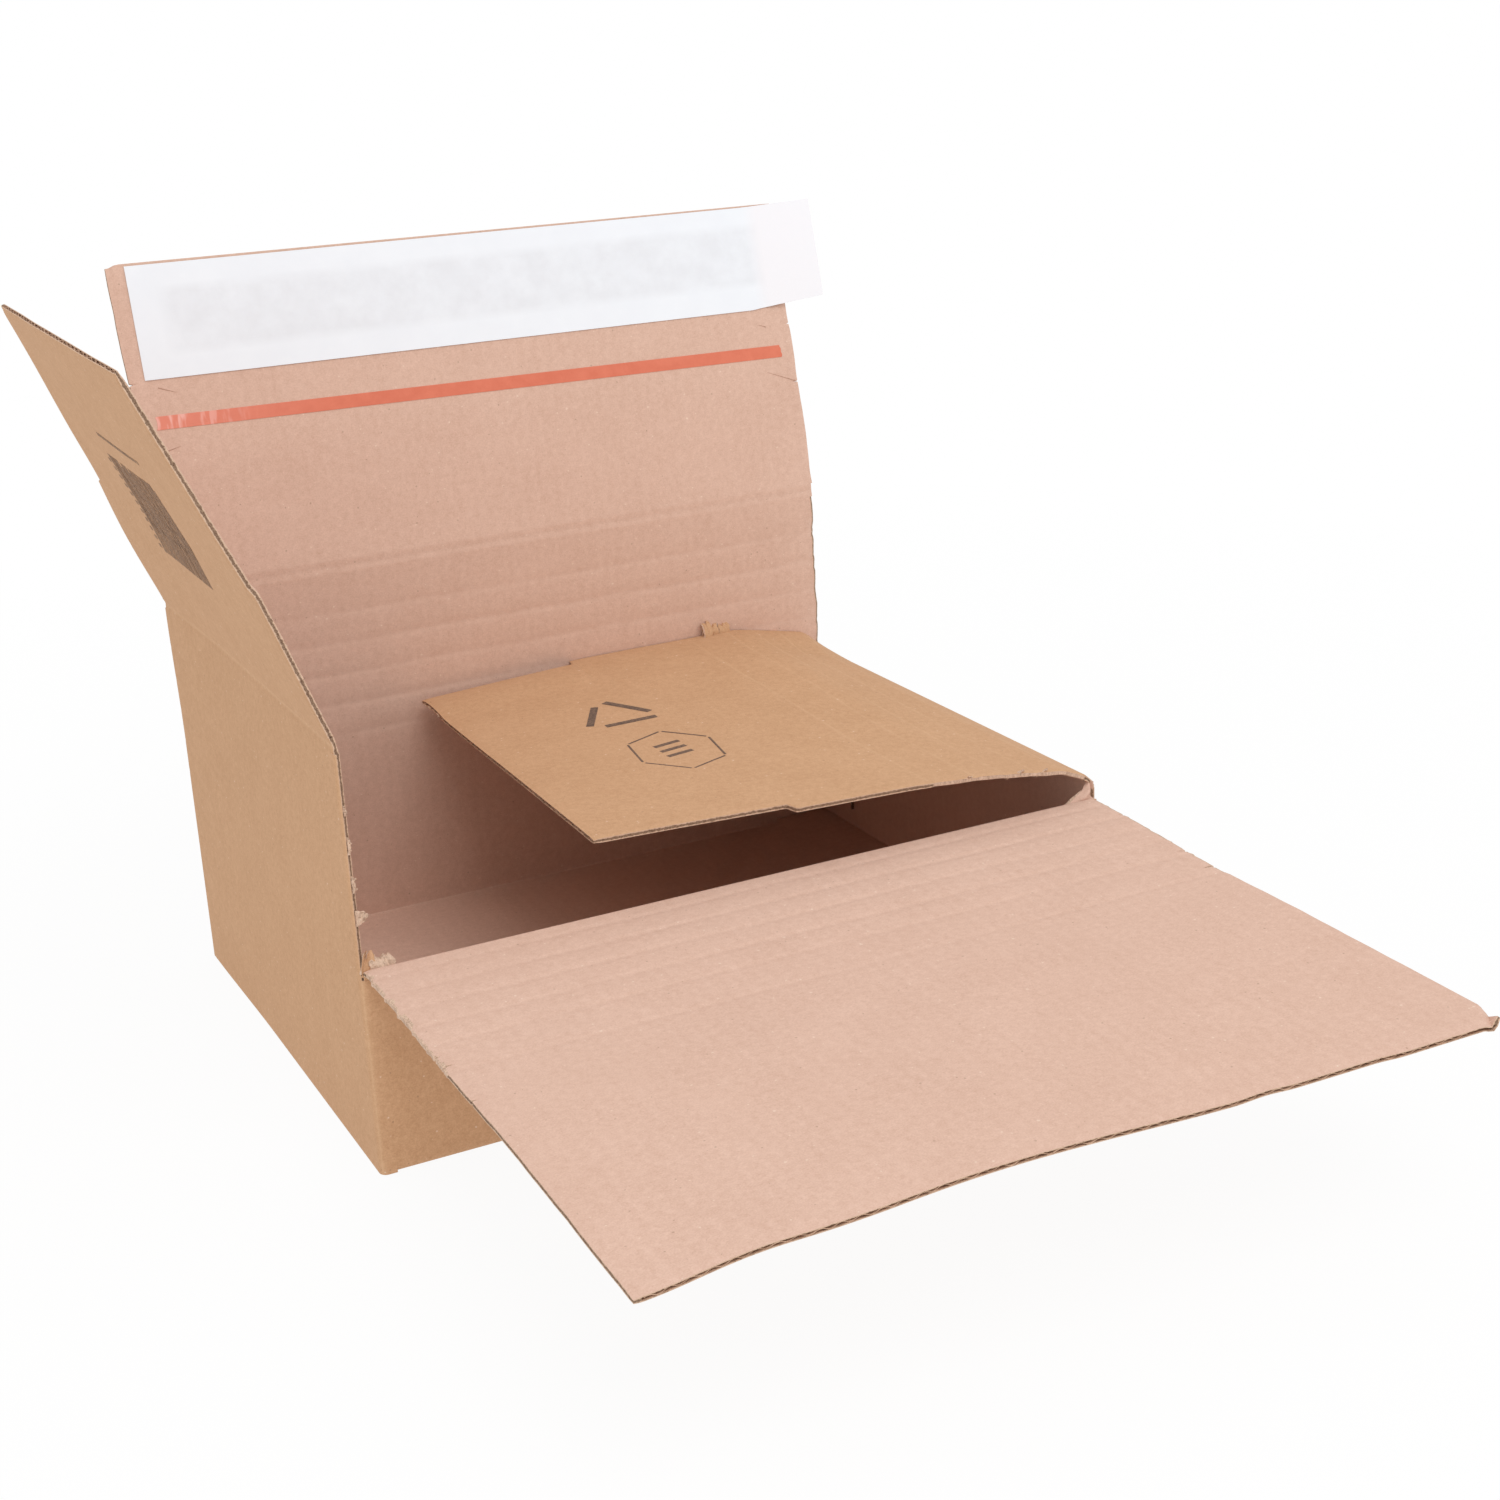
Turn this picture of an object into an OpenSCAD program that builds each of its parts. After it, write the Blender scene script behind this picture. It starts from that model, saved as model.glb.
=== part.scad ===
// Open shipping carton of corrugated board, with creases at several heights.
// The walls, the four top flaps and the self-locking bottom are one folded sheet.
// The front and right walls are folded at their lowest crease, the left and back
// walls stand at full height, and the back flap carries a seal strip and a tear tape.
// Origin: middle of the base on the table. +X right, +Y to the back, +Z up.

/* [Carton] */
// Outside width, left to right
carton_w = 305; // [240:1:420]
// Outside depth, front to back
carton_d = 230; // [180:1:320]
// Thickness of the corrugated board
board_t = 2.5; // [1.6:0.1:4]
// Height of the lowest crease on the left and right walls
low_crease_z = 86; // [60:1:140]
// Height of each narrow band between two creases
band_h = 13.7; // [10:0.1:20]
// Number of narrow bands
band_count = 4; // [2:1:6]
// Height of the wide band under the top crease
top_band_h = 19.7; // [12:0.1:40]
// Radius of the folded upright corners
corner_r = 2; // [1:0.1:2.4]
// Radius of the folded bottom edges
base_r = 1.6; // [0.8:0.1:2.4]

/* [Flaps] */
// Length of the front flap beyond its top crease
front_flap_l = 141; // [60:0.5:160]
// Length of the back flap beyond its top crease
back_flap_l = 135; // [110:1:160]
// Length of the left and right flaps beyond their top crease
end_flap_l = 140; // [80:1:150]
// Distance from the top crease to the step in the end flaps
end_step_at = 59; // [20:1:75]
// How far the end flaps step in on each side
end_step = 6; // [2:0.5:20]
// Clearance of a flap or slit edge from the board beside it
slit_gap = 0.3; // [0.2:0.05:1]
// How far the fold of the front wall lies under its lowest crease
front_fold_drop = 10.3; // [6:0.1:20]
// Size of the bent tip at the front flap's right corner
bent_tip = 9; // [4:0.5:20]
// Angle of the bent tip
tip_lift = 55; // [5:1:60]
// Size of the crushed corner of the back flap
crushed_r = 5; // [2:0.5:12]

/* [Rest pose] */
// Front flap: degrees that it hangs below level
front_droop = 1.6; // [0:0.1:10]
// Left flap: lean outwards from upright at its root
left_lean = 20; // [5:0.5:60]
// Left flap: extra lean beyond the step
left_bow = 4; // [0:0.5:10]
// Back flap: lean backwards from upright at its root
back_lean = 12; // [5:0.5:60]
// Back flap: extra lean beyond its bow line
back_bow = 3; // [0:0.5:10]
// Back flap: distance from the top crease to its bow line
back_bow_at = 55; // [20:1:60]
// Right flap: rise of its first band above level
right_rise = 45; // [0:1:60]
// Right flap: rise of its second and third band above level
right_shoulder = 7; // [0:0.5:20]

/* [Creases] */
// Width of a crease line
crease_w = 3.2; // [2:0.1:5]
// Depth of a crease on the inner face
crease_in = 0.45; // [0.2:0.05:0.8]
// Depth of a crease on the outer face
crease_out = 0.2; // [0.1:0.05:0.4]
// Length over which the board thins towards a hinge fold
fold_taper = 3.5; // [3:0.1:6]
// Radius of the rolled root of a flap, on its hinge line
fold_r = 0.45; // [0.4:0.05:0.7]
// Half thickness of the crushed board at the top of a folded wall
fold_web = 0.35; // [0.25:0.05:0.6]
// Width of the perforation cuts down the corner folds
perf_w = 0.4; // [0.2:0.05:0.8]
// Length of the tie of board left between two perforation cuts
perf_tie = 3; // [1.5:0.5:6]

/* [Flutes] */
// Distance from flute to flute
flute_pitch = 6.5; // [4:0.1:9]
// Thickness of each facing paper
liner_t = 0.35; // [0.2:0.05:0.5]
// Thickness of the fluted paper
medium_t = 0.3; // [0.2:0.05:0.4]
// Solid margin left beside the first and last flute
flute_margin = 1.2; // [0.5:0.1:3]

/* [Bottom] */
// Length of the inner bottom flaps, from each end wall
inner_flap_l = 95; // [60:1:100]
// Length of their straight part, before the corners are cut at 45 degrees
inner_straight = 26; // [10:1:50]
// Clearance beside the inner bottom flaps
inner_gap = 1; // [0.5:0.1:3]
// Width of the slit between the outer bottom flaps
lock_slit = 0.8; // [0.4:0.1:2]
// Reach of the locking tongues past the middle line
lock_reach = 16; // [8:1:30]
// Half length of the locking tongues
lock_half = 62; // [40:1:80]
// Slant of the tongue sides
lock_slant = 14; // [6:1:20]
// Place of the change from one tongue to the other
lock_mid = 17; // [10:1:24]
// Width of the glued joint tab inside the right wall
glue_tab_w = 32; // [20:1:45]
// Slope at the ends of the glued tab
glue_tab_slope = 8; // [3:1:15]
// Side of the square bar that scores the diagonal fold lines
score_bar = 0.6; // [0.3:0.1:1]

/* [Seal] */
// Width of the tear tape
tape_w = 6; // [4:0.5:10]
// Thickness of the tear tape
tape_t = 0.2; // [0.1:0.05:0.3]
// Distance from the top crease to the middle of the tear tape
tape_at = 68.6; // [64:0.2:80]
// Slant of the tear tape, down towards its right end
tape_slant = 1.2; // [0:0.1:2]
// Space left at the left end of the tear tape
tape_left = 6; // [3:0.5:20]
// Space left at the right end of the tear tape
tape_right = 5; // [2:0.5:20]
// Width of the adhesive band
glue_w = 26; // [10:1:34]
// Thickness of the adhesive band
glue_t = 0.25; // [0.15:0.05:0.4]
// Space left at both ends of the adhesive band
glue_inset = 13; // [8:1:40]
// Width of the release liner
release_w = 45.5; // [35:0.5:46]
// Thickness of the release liner
release_t = 0.25; // [0.15:0.05:0.4]
// Space between the release liner and the flap's free edge
release_margin = 2; // [1:0.5:6]
// Space left at the liner's left end
release_left = 4.5; // [4:0.5:20]
// How far the lifting tab reaches past the flap's right edge
release_tab = 18.5; // [8:0.5:30]
// Length of the tab that is lifted off the flap
release_lifted = 31; // [18:1:45]
// Angle of the lifted tab
release_lift = 8; // [3:0.5:20]

/* [Hidden] */
$fn = 48;
kraft_out = [0.76, 0.60, 0.43];
kraft_in = [0.85, 0.70, 0.60];
overlap = 0.5;
half_t = board_t / 2;
side_w = carton_w / 2;
side_d = carton_d / 2;
// The long walls' creases lie one board and a gap above those of the end walls,
// so that the long flaps close on top of the end flaps.
crease_step = board_t + slit_gap;
long_low_z = low_crease_z + crease_step;
band_total = band_count * band_h;
crease_rise = [for (i = [0 : band_count]) i * band_h];
top_rise = band_total + top_band_h;
end_top_z = low_crease_z + top_rise;
long_top_z = long_low_z + top_rise;
front_fold_z = long_low_z - front_fold_drop;
// A flap that folds in passes the inner face of the wall beside it
flap_inset = board_t + slit_gap;
// A long flap closes on top of the end flaps, between their standing roots
long_half_w = side_w - 2 * slit_gap - half_t;
front_slit_z = front_fold_z - fold_taper;
back_slit_z = low_crease_z - fold_taper;
slit_edge = slit_gap * 2;
front_l = front_fold_drop + top_rise + front_flap_l;
front_creases = concat([for (r = crease_rise) front_fold_drop + r], [front_fold_drop + top_rise]);
front_flutes_at = front_fold_drop + top_rise + crease_w;
right_creases = [for (r = crease_rise) if (r > 0) r];
right_step_at = top_rise + end_step_at;
right_l = top_rise + end_flap_l;
front_bends = [[0, 90 + front_droop]];
left_bends = [[0, left_lean], [end_step_at - 2 * overlap, left_lean + left_bow]];
back_bends = [[0, back_lean], [back_bow_at, back_lean + back_bow]];
right_bends = [[0, right_rise - 90], [right_creases[0], right_shoulder - 90], [right_creases[2], -90]];
upright = [[0, 0]];

// A panel is a path in the plane of outward reach and height. Each bend gives the
// distance along the panel where it starts, and the lean outwards from upright.
function heading(lean) = [sin(lean), cos(lean)];
function facing(lean) = [cos(lean), -sin(lean)];
function last(list) = list[len(list) - 1];
function bend_end(bends, i) = i + 1 < len(bends) ? bends[i + 1][0] : 10000;
function along(bends, s, i = 0) =
    i >= len(bends) ? [0, 0]
    : max(0, min(s, bend_end(bends, i)) - bends[i][0]) * heading(bends[i][1]) + along(bends, s, i + 1);
function lean_after(bends, s) = last([for (b = bends) if (b[0] <= s) b[1]]);
function lean_before(bends, s) = s <= 0 ? bends[0][1] : last([for (b = bends) if (b[0] < s) b[1]]);
function face_point(bends, s, h) =
    let (before = lean_before(bends, s), after = lean_after(bends, s))
    along(bends, s) + h * facing((before + after) / 2) / cos((after - before) / 2);

// A knot is [distance along the panel, half thickness outside, half thickness inside]
function full(s) = [s, half_t, half_t];
function crease(s) = [full(s - crease_w / 2), [s, half_t - crease_out, half_t - crease_in], full(s + crease_w / 2)];
function creases(list) = [for (s = list) each crease(s)];
function flap_root() = [[0, fold_r, fold_r], full(fold_taper)];
function wall_top(s) = [full(s - fold_taper), [s - fold_r - slit_gap, fold_web, fold_web]];

// One board seen from its side, swept across its width
module board(bends, knots, from, to) {
    outer = [for (k = knots) face_point(bends, k[0], k[1])];
    inner = [for (i = [len(knots) - 1 : -1 : 0]) face_point(bends, knots[i][0], -knots[i][2])];
    translate([from, 0, 0]) rotate([90, 0, 90]) linear_extrude(to - from) polygon(concat(outer, inner));
}

// Section of one flute channel, against the facing on the side given by sign
module channel(sign) {
    reach = half_t - liner_t;
    wave = reach - medium_t / 2;
    function at(x) = [x * flute_pitch, sign * (medium_t / 2 - wave * cos(360 * x))];
    polygon([[-0.42 * flute_pitch, sign * reach], at(-0.2), at(0), at(0.2), [0.42 * flute_pitch, sign * reach]]);
}

// Section across the flutes: two facings with a wave between them
module fluted_section(from, to) {
    width = to - from - 2 * flute_margin;
    count = floor(width / flute_pitch - 0.5);
    start = (from + to) / 2 - (count - 0.5) * flute_pitch / 2;
    difference() {
        translate([from, -half_t]) square([to - from, board_t]);
        for (i = [0 : count - 1]) {
            translate([start + i * flute_pitch, 0]) channel(1);
            translate([start + (i + 0.5) * flute_pitch, 0]) channel(-1);
        }
    }
}

// The last stretch of a flap, with its flutes open at the cut edge
module fluted_board(bends, s_from, s_to, from, to) {
    root = along(bends, s_from);
    translate([0, root[0], root[1]])
        rotate([-lean_after(bends, s_from), 0, 0])
            linear_extrude(s_to - s_from) fluted_section(from, to);
}

// Plan of a board whose upright edges are torn along the corner folds
module torn_plan(half_w) {
    polygon([[-half_w + slit_edge, half_t], [half_w - slit_edge, half_t],
             [half_w - slit_edge - board_t, -half_t], [-half_w + slit_edge + board_t, -half_t]]);
}

// Panel frames: X across the panel, Y outwards from the middle of the board, Z up
module at_back(z) {
    translate([0, side_d - half_t, z]) children();
}

module at_front(z) {
    rotate([0, 0, 180]) translate([0, side_d - half_t, z]) children();
}

module at_left(z) {
    rotate([0, 0, 90]) translate([0, side_w - half_t, z]) children();
}

module at_right(z) {
    rotate([0, 0, -90]) translate([0, side_w - half_t, z]) children();
}

// Rectangle with round corners
module round_plan(w, d, r) {
    union() {
        square([w - 2 * r, d], center = true);
        square([w, d - 2 * r], center = true);
        for (x = [-1, 1], y = [-1, 1]) translate([x * (w / 2 - r), y * (d / 2 - r)]) circle(r);
    }
}

// Side view of the carton: square at the top and folded round at the bottom
module round_foot(w, h, r) {
    union() {
        translate([-w / 2, r]) square([w, h - r]);
        translate([r - w / 2, 0]) square([w - 2 * r, h]);
        for (x = [-1, 1]) translate([x * (w / 2 - r), r]) circle(r);
    }
}

module outer_block(h) {
    intersection() {
        linear_extrude(h) round_plan(carton_w, carton_d, corner_r);
        translate([0, side_d, 0]) rotate([90, 0, 0]) linear_extrude(carton_d) round_foot(carton_w, h, base_r);
        translate([-side_w, 0, 0]) rotate([90, 0, 90]) linear_extrude(carton_w) round_foot(carton_d, h, base_r);
    }
}

// Straight slit between two points of the bottom
module slit_between(a, b) {
    run = b - a;
    translate(a) rotate(atan2(run[1], run[0])) translate([-lock_slit / 2, -lock_slit / 2])
        square([norm(run) + lock_slit, lock_slit]);
}

// Line where the two outer bottom flaps meet and lock into each other
module lock_line() {
    end_x = side_w - board_t - base_r;
    path = [[-end_x, 0], [-lock_half, 0], [lock_slant - lock_half, lock_reach],
            [lock_mid - lock_slant / 2, lock_reach], [lock_mid + lock_slant / 2, -lock_reach],
            [lock_half - lock_slant, -lock_reach], [lock_half, 0], [end_x, 0]];
    for (i = [0 : len(path) - 2]) slit_between(path[i], path[i + 1]);
}

// Diagonal score of an outer bottom flap, from one corner of the base
module diagonal_score(x, y) {
    start = 2 * base_r;
    translate([x * (side_w - start), y * (side_d - start), 0])
        rotate([0, 0, atan2(-y, -x)]) rotate([45, 0, 0])
            translate([0, -score_bar / 2, -score_bar / 2]) cube([inner_flap_l * sqrt(2), score_bar, score_bar]);
}

// Inner bottom flap, glued down on the outer ones
module inner_bottom_flap() {
    half = side_d - board_t - inner_gap;
    cut = inner_flap_l - inner_straight;
    root = side_w - board_t;
    translate([0, 0, board_t]) linear_extrude(board_t)
        polygon([[root + overlap, -half], [root + overlap, half], [root - inner_straight, half],
                 [root - inner_flap_l, half - cut], [root - inner_flap_l, cut - half], [root - inner_straight, -half]]);
}

// Joint tab, folded round the back corner and glued inside the right wall
module glue_tab() {
    low = 2 * board_t + inner_gap;
    high = front_slit_z;
    back = side_d - board_t + overlap;
    edge = side_d - board_t - glue_tab_w;
    translate([side_w - 2 * board_t, 0, 0]) rotate([90, 0, 90]) linear_extrude(board_t + overlap)
        polygon([[back, low], [back, high], [edge, high - glue_tab_slope], [edge, low + glue_tab_slope]]);
}

// Perforation down the back left corner, one cut in each band between two creases
module corner_cuts(reach, top) {
    for (i = [0 : band_count]) {
        from = low_crease_z + crease_rise[i] + perf_tie / 2;
        to = (i < band_count ? low_crease_z + crease_rise[i + 1] : top) - perf_tie / 2;
        translate([-side_w, side_d, from]) rotate([0, 0, -45])
            translate([-overlap, -perf_w / 2, 0]) cube([reach * sqrt(2), perf_w, to - from]);
    }
}

// Back left corner, whose perforated fold is still whole up to the top crease
module whole_corner() {
    side = board_t + corner_r;
    top = end_top_z - fold_taper;
    difference() {
        intersection() {
            translate([0, 0, back_slit_z - overlap]) linear_extrude(top - back_slit_z + overlap) difference() {
                round_plan(carton_w, carton_d, corner_r);
                square([carton_w - 2 * board_t, carton_d - 2 * board_t], center = true);
            }
            translate([-side_w, side_d - side, 0]) cube([side, side, long_top_z]);
        }
        corner_cuts(side, top);
    }
}

// Standing part of a wall above the slits, up to its fold
module wall_board(half_w, z_from, z_fold, rises) {
    foot = z_from - overlap;
    height = z_fold - foot;
    marks = [for (r = rises) if (r > foot + crease_w && r < z_fold - fold_taper - crease_w) r - foot];
    translate([0, 0, foot]) intersection() {
        linear_extrude(height) torn_plan(half_w);
        board(upright, concat([full(0)], creases(marks), wall_top(height)), -half_w, half_w);
    }
}

module carton_body() {
    end_marks = [for (r = crease_rise) low_crease_z + r];
    long_marks = [for (r = crease_rise) long_low_z + r];
    color(kraft_out) union() {
        difference() {
            outer_block(back_slit_z);
            translate([board_t - side_w, board_t - side_d, board_t])
                cube([carton_w - 2 * board_t, carton_d - 2 * board_t, back_slit_z]);
            translate([-side_w - 1, -side_d - 1, front_slit_z])
                cube([carton_w + 2, side_d + 1, back_slit_z]);
            translate([0, 0, -1]) linear_extrude(board_t + 2) lock_line();
            for (x = [-1, 1], y = [-1, 1]) diagonal_score(x, y);
        }
        inner_bottom_flap();
        mirror([1, 0, 0]) inner_bottom_flap();
        glue_tab();
        whole_corner();
        at_front(0) wall_board(side_w, front_slit_z, front_fold_z, []);
        at_right(0) wall_board(side_d, front_slit_z, low_crease_z, []);
        at_left(0) wall_board(side_d, front_slit_z, end_top_z, end_marks);
        at_back(0) wall_board(side_w, back_slit_z, long_top_z, long_marks);
    }
}

module flap_bead(half_w) {
    translate([-half_w, 0, 0]) rotate([0, 90, 0]) cylinder(r = fold_r, h = 2 * half_w);
}

// Triangle of board at a corner, with its long edge moved out from the diagonal
module tip_plate(size, thickness, out) {
    rotate([90, 0, 0]) linear_extrude(thickness, center = true) polygon([[0, -out], [size + out, size], [0, size]]);
}

module front_flap() {
    half_w = long_half_w;
    root_l = front_flutes_at + overlap;
    color(kraft_in) at_front(front_fold_z) rotate([-front_bends[0][1], 0, 0]) {
        difference() {
            union() {
                intersection() {
                    translate([0, 0, -fold_r]) linear_extrude(root_l + fold_r) torn_plan(side_w);
                    union() {
                        board(upright, concat(flap_root(), creases(front_creases), [full(root_l)]), -side_w, side_w);
                        flap_bead(side_w);
                    }
                }
                fluted_board(upright, front_flutes_at, front_l, -half_w, half_w);
            }
            translate([-half_w - overlap, 0, front_l - bent_tip - overlap]) tip_plate(2 * bent_tip, 2 * board_t, 0);
        }
        translate([-half_w, 0, front_l - bent_tip])
            rotate([0, 45, 0]) rotate([0, 0, tip_lift]) rotate([0, -45, 0]) tip_plate(bent_tip, board_t, half_t);
    }
}

module back_flap() {
    half_w = long_half_w;
    // Beyond the bow line the flap is trimmed a little, so that it tucks in easily
    outer_w = half_w - slit_gap;
    lean = lean_after(back_bends, back_bow_at);
    corner = along(back_bends, back_flap_l);
    color(kraft_in) at_back(long_top_z) difference() {
        union() {
            board(back_bends, concat(flap_root(), [full(back_bow_at), full(back_bow_at + 2 * overlap)]), -half_w, half_w);
            flap_bead(half_w);
            fluted_board(back_bends, back_bow_at + overlap, back_flap_l, -outer_w, outer_w);
        }
        translate([crushed_r - outer_w, corner[0], corner[1]]) rotate([-lean, 0, 0])
            translate([0, 0, -crushed_r]) rotate([90, 0, 0]) linear_extrude(2 * board_t, center = true)
                polygon(crushed_r * [[-1.3, -0.7], [-0.7, 0.7], [0.7, 1.3], [0.7, 2], [-2, 2], [-2, -0.7]]);
    }
}

// Left and right flap: wide up to the step, and narrower beyond it
module end_flap(bends, knots, step_at, length) {
    wide = side_d - flap_inset;
    narrow = wide - end_step;
    union() {
        board(bends, concat(flap_root(), knots, [full(step_at)]), -wide, wide);
        flap_bead(wide);
        fluted_board(bends, step_at - overlap, length, -narrow, narrow);
    }
}

module left_flap() {
    color(kraft_out) at_left(end_top_z) end_flap(left_bends, [full(left_bends[1][0])], end_step_at, end_flap_l);
}

module right_flap() {
    color(kraft_out) at_right(low_crease_z)
        end_flap(right_bends, creases(concat(right_creases, [top_rise])), right_step_at, right_l);
}

// Frame on the inner face of the back flap, beyond its bow line. Z is the distance
// from the bow line, and Y is 0 on the board's inner face.
module on_back_flap() {
    root = along(back_bends, back_bow_at);
    at_back(long_top_z) translate([0, root[0], root[1]])
        rotate([-lean_after(back_bends, back_bow_at), 0, 0]) translate([0, -half_t, -back_bow_at]) children();
}

module tear_tape() {
    color([0.87, 0.45, 0.33]) on_back_flap()
        translate([0, -tape_t, tape_at]) rotate([0, tape_slant, 0])
            translate([tape_left - long_half_w, 0, -tape_w / 2])
                cube([2 * long_half_w - tape_left - tape_right, tape_t, tape_w]);
}

module adhesive_band() {
    half_w = long_half_w;
    middle = back_flap_l - release_margin - release_w / 2;
    color([0.80, 0.78, 0.70]) on_back_flap()
        translate([glue_inset - half_w, -glue_t, middle - glue_w / 2])
            cube([2 * (half_w - glue_inset), glue_t, glue_w]);
}

module release_liner() {
    half_w = long_half_w;
    near = -glue_t;
    far = -glue_t - release_t;
    bend_x = half_w + release_tab - release_lifted;
    tip = [cos(release_lift), -sin(release_lift)] * release_lifted;
    top = back_flap_l - release_margin;
    color([0.93, 0.93, 0.96]) on_back_flap() translate([0, 0, top - release_w])
        linear_extrude(release_w)
            polygon([[release_left - half_w, near], [bend_x, near], [bend_x + tip[0], near + tip[1]],
                     [bend_x + tip[0], far + tip[1]], [bend_x, far], [release_left - half_w, far]]);
}

carton_body();
front_flap();
back_flap();
left_flap();
right_flap();
adhesive_band();
release_liner();
tear_tape();
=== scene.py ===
import math

import bpy
import numpy as np
from mathutils import Matrix, Vector


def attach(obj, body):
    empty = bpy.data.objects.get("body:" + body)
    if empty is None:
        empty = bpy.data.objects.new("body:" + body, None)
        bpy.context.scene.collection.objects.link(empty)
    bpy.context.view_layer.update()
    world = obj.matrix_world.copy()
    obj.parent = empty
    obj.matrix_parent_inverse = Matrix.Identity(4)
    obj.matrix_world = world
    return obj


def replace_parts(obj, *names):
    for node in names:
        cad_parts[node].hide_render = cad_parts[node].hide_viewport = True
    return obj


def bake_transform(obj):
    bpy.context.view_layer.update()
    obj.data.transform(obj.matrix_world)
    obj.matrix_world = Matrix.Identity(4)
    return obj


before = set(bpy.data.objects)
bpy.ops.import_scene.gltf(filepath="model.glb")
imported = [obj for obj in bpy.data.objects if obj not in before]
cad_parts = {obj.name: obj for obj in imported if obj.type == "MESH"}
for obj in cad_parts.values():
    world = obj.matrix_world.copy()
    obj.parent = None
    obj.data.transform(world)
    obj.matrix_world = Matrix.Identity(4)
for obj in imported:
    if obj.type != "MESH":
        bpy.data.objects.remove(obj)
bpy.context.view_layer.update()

# Sizes, in millimetres
MM = 0.001
WIDTH, DEPTH, BOARD = 305.0, 230.0, 2.5
SIDE_W, SIDE_D, HALF = WIDTH / 2, DEPTH / 2, BOARD / 2
LOW_Z, BAND, TOP_BAND = 86.0, 13.7, 19.7
STEP = BOARD + 0.3
RISES = [BAND * i for i in range(5)]
TOP_RISE = RISES[-1] + TOP_BAND
END_TOP = LOW_Z + TOP_RISE
LONG_LOW = LOW_Z + STEP
LONG_TOP = LONG_LOW + TOP_RISE
FRONT_DROP = 10.3
FRONT_FOLD = LONG_LOW - FRONT_DROP
FRONT_L = FRONT_DROP + TOP_RISE + 141.0
LONG_HALF = SIDE_W - HALF - 0.6
BACK_L, END_L, STEP_AT = 135.0, 140.0, 59.0
PITCH = 6.5
LINER = 0.34
SEAM = 3.0
FOOT, CORNER_R, FOLD_R = 3.0, 1.5, 1.75
END_GAP = 2.2
TEAR_END = FRONT_DROP + TOP_RISE
RIGHT_L = TOP_RISE + END_L
TAB_AT = 138.0
LINER_WIDE, LINER_TOP = 46.8, BACK_L - 2.1
GLUE_S = BACK_L - 2.0 - 45.5 / 2
TAPE_S = 64.5, 70.0

# Each wall's turn and reach, the wall that follows it, and the heights of its top and its lowest crease
WALLS = {"back": (0, SIDE_D), "front": (180, SIDE_D), "right": (-90, SIDE_W), "left": (90, SIDE_W)}
NEXT = {"back": "right", "right": "front", "front": "left", "left": "back"}
TOPS = {"back": LONG_TOP, "right": LOW_Z, "front": FRONT_FOLD, "left": END_TOP}
LINES = {"back": LONG_LOW, "right": LOW_Z, "front": LONG_LOW, "left": LOW_Z}


def ease(a, b, x):
    t = np.clip((np.asarray(x, float) - a) / (b - a), 0, 1)
    return t * t * (3 - 2 * t)


def hump(x):
    """1 at 0, falling smoothly to 0 at -1 and 1."""
    return np.where(np.abs(x) < 1, np.cos(np.clip(x, -1, 1) * math.pi / 2) ** 2, 0.0)


def wobble(seed, x, step):
    """Smooth noise in -1..1 along x, with a free value every step millimetres."""
    values = np.random.default_rng(seed).uniform(-1, 1, 2000)
    q = np.asarray(x, float) / step + 900
    i = np.floor(q).astype(int)
    f = q - i
    f = f * f * (3 - 2 * f)
    return values[i] * (1 - f) + values[i + 1] * f


def levels(start, end, marks, coarse, fine=0.6, reach=3.0, dense=0.0):
    """Sorted values from start to end, closer together round the marks and all the way up to dense."""
    first = max(start, min(dense, end))
    base = np.linspace(first, end, max(2, int(round((end - first) / coarse)) + 1))
    base = np.concatenate([np.arange(start, first, 1.1), base])
    near = [m + k * fine for m in marks for k in range(-int(reach / fine), int(reach / fine) + 1)]
    near = [v for v in near if start < v < end]
    out = [start]
    for v in sorted(near + [b for b in base if all(abs(b - m) > reach for m in marks)]):
        if v - out[-1] > 0.45 * fine and end - v > 0.45 * fine:
            out.append(v)
    return np.array(out + [end])


def place(wall, u, out, up):
    """World position of a point given across the wall, outwards from mid board, and upwards."""
    turn, reach = WALLS[wall]
    a = math.radians(turn)
    y = reach - HALF + out
    return np.stack([u * math.cos(a) - y * math.sin(a), u * math.sin(a) + y * math.cos(a), up + 0 * u], -1)


def direct(wall, out, up):
    """World direction of a direction across a wall's plane."""
    a = math.radians(WALLS[wall][0])
    return np.stack([-out * math.sin(a), out * math.cos(a), up], -1)


# Mesh building
OUTER, INNER, RIM, FLUTE, TORN = 0, 1, 2, 3, 4


def add_object(name, data):
    obj = bpy.data.objects.new(name, data)
    bpy.context.scene.collection.objects.link(obj)
    return obj


def sharp_edges(mesh, slots):
    """Edges between two materials, and those where the surface turns by more than 53 degrees."""
    edge_of = np.zeros(len(mesh.loops), np.int32)
    mesh.loops.foreach_get("edge_index", edge_of)
    sides = np.zeros(len(mesh.polygons), np.int32)
    mesh.polygons.foreach_get("loop_total", sides)
    of_loop = np.repeat(slots, sides)
    low = np.full(len(mesh.edges), 99)
    high = np.full(len(mesh.edges), -1)
    np.minimum.at(low, edge_of, of_loop)
    np.maximum.at(high, edge_of, of_loop)
    sharp = low != high
    normals = np.zeros(len(mesh.polygons) * 3)
    mesh.polygons.foreach_get("normal", normals)
    normals = np.repeat(normals.reshape(-1, 3), sides, 0)
    order = np.argsort(edge_of, kind="stable")
    e, n = edge_of[order], normals[order]
    turned = (e[1:] == e[:-1]) & ((n[1:] * n[:-1]).sum(1) < 0.6)
    sharp[e[1:][turned]] = True
    return sharp


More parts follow.
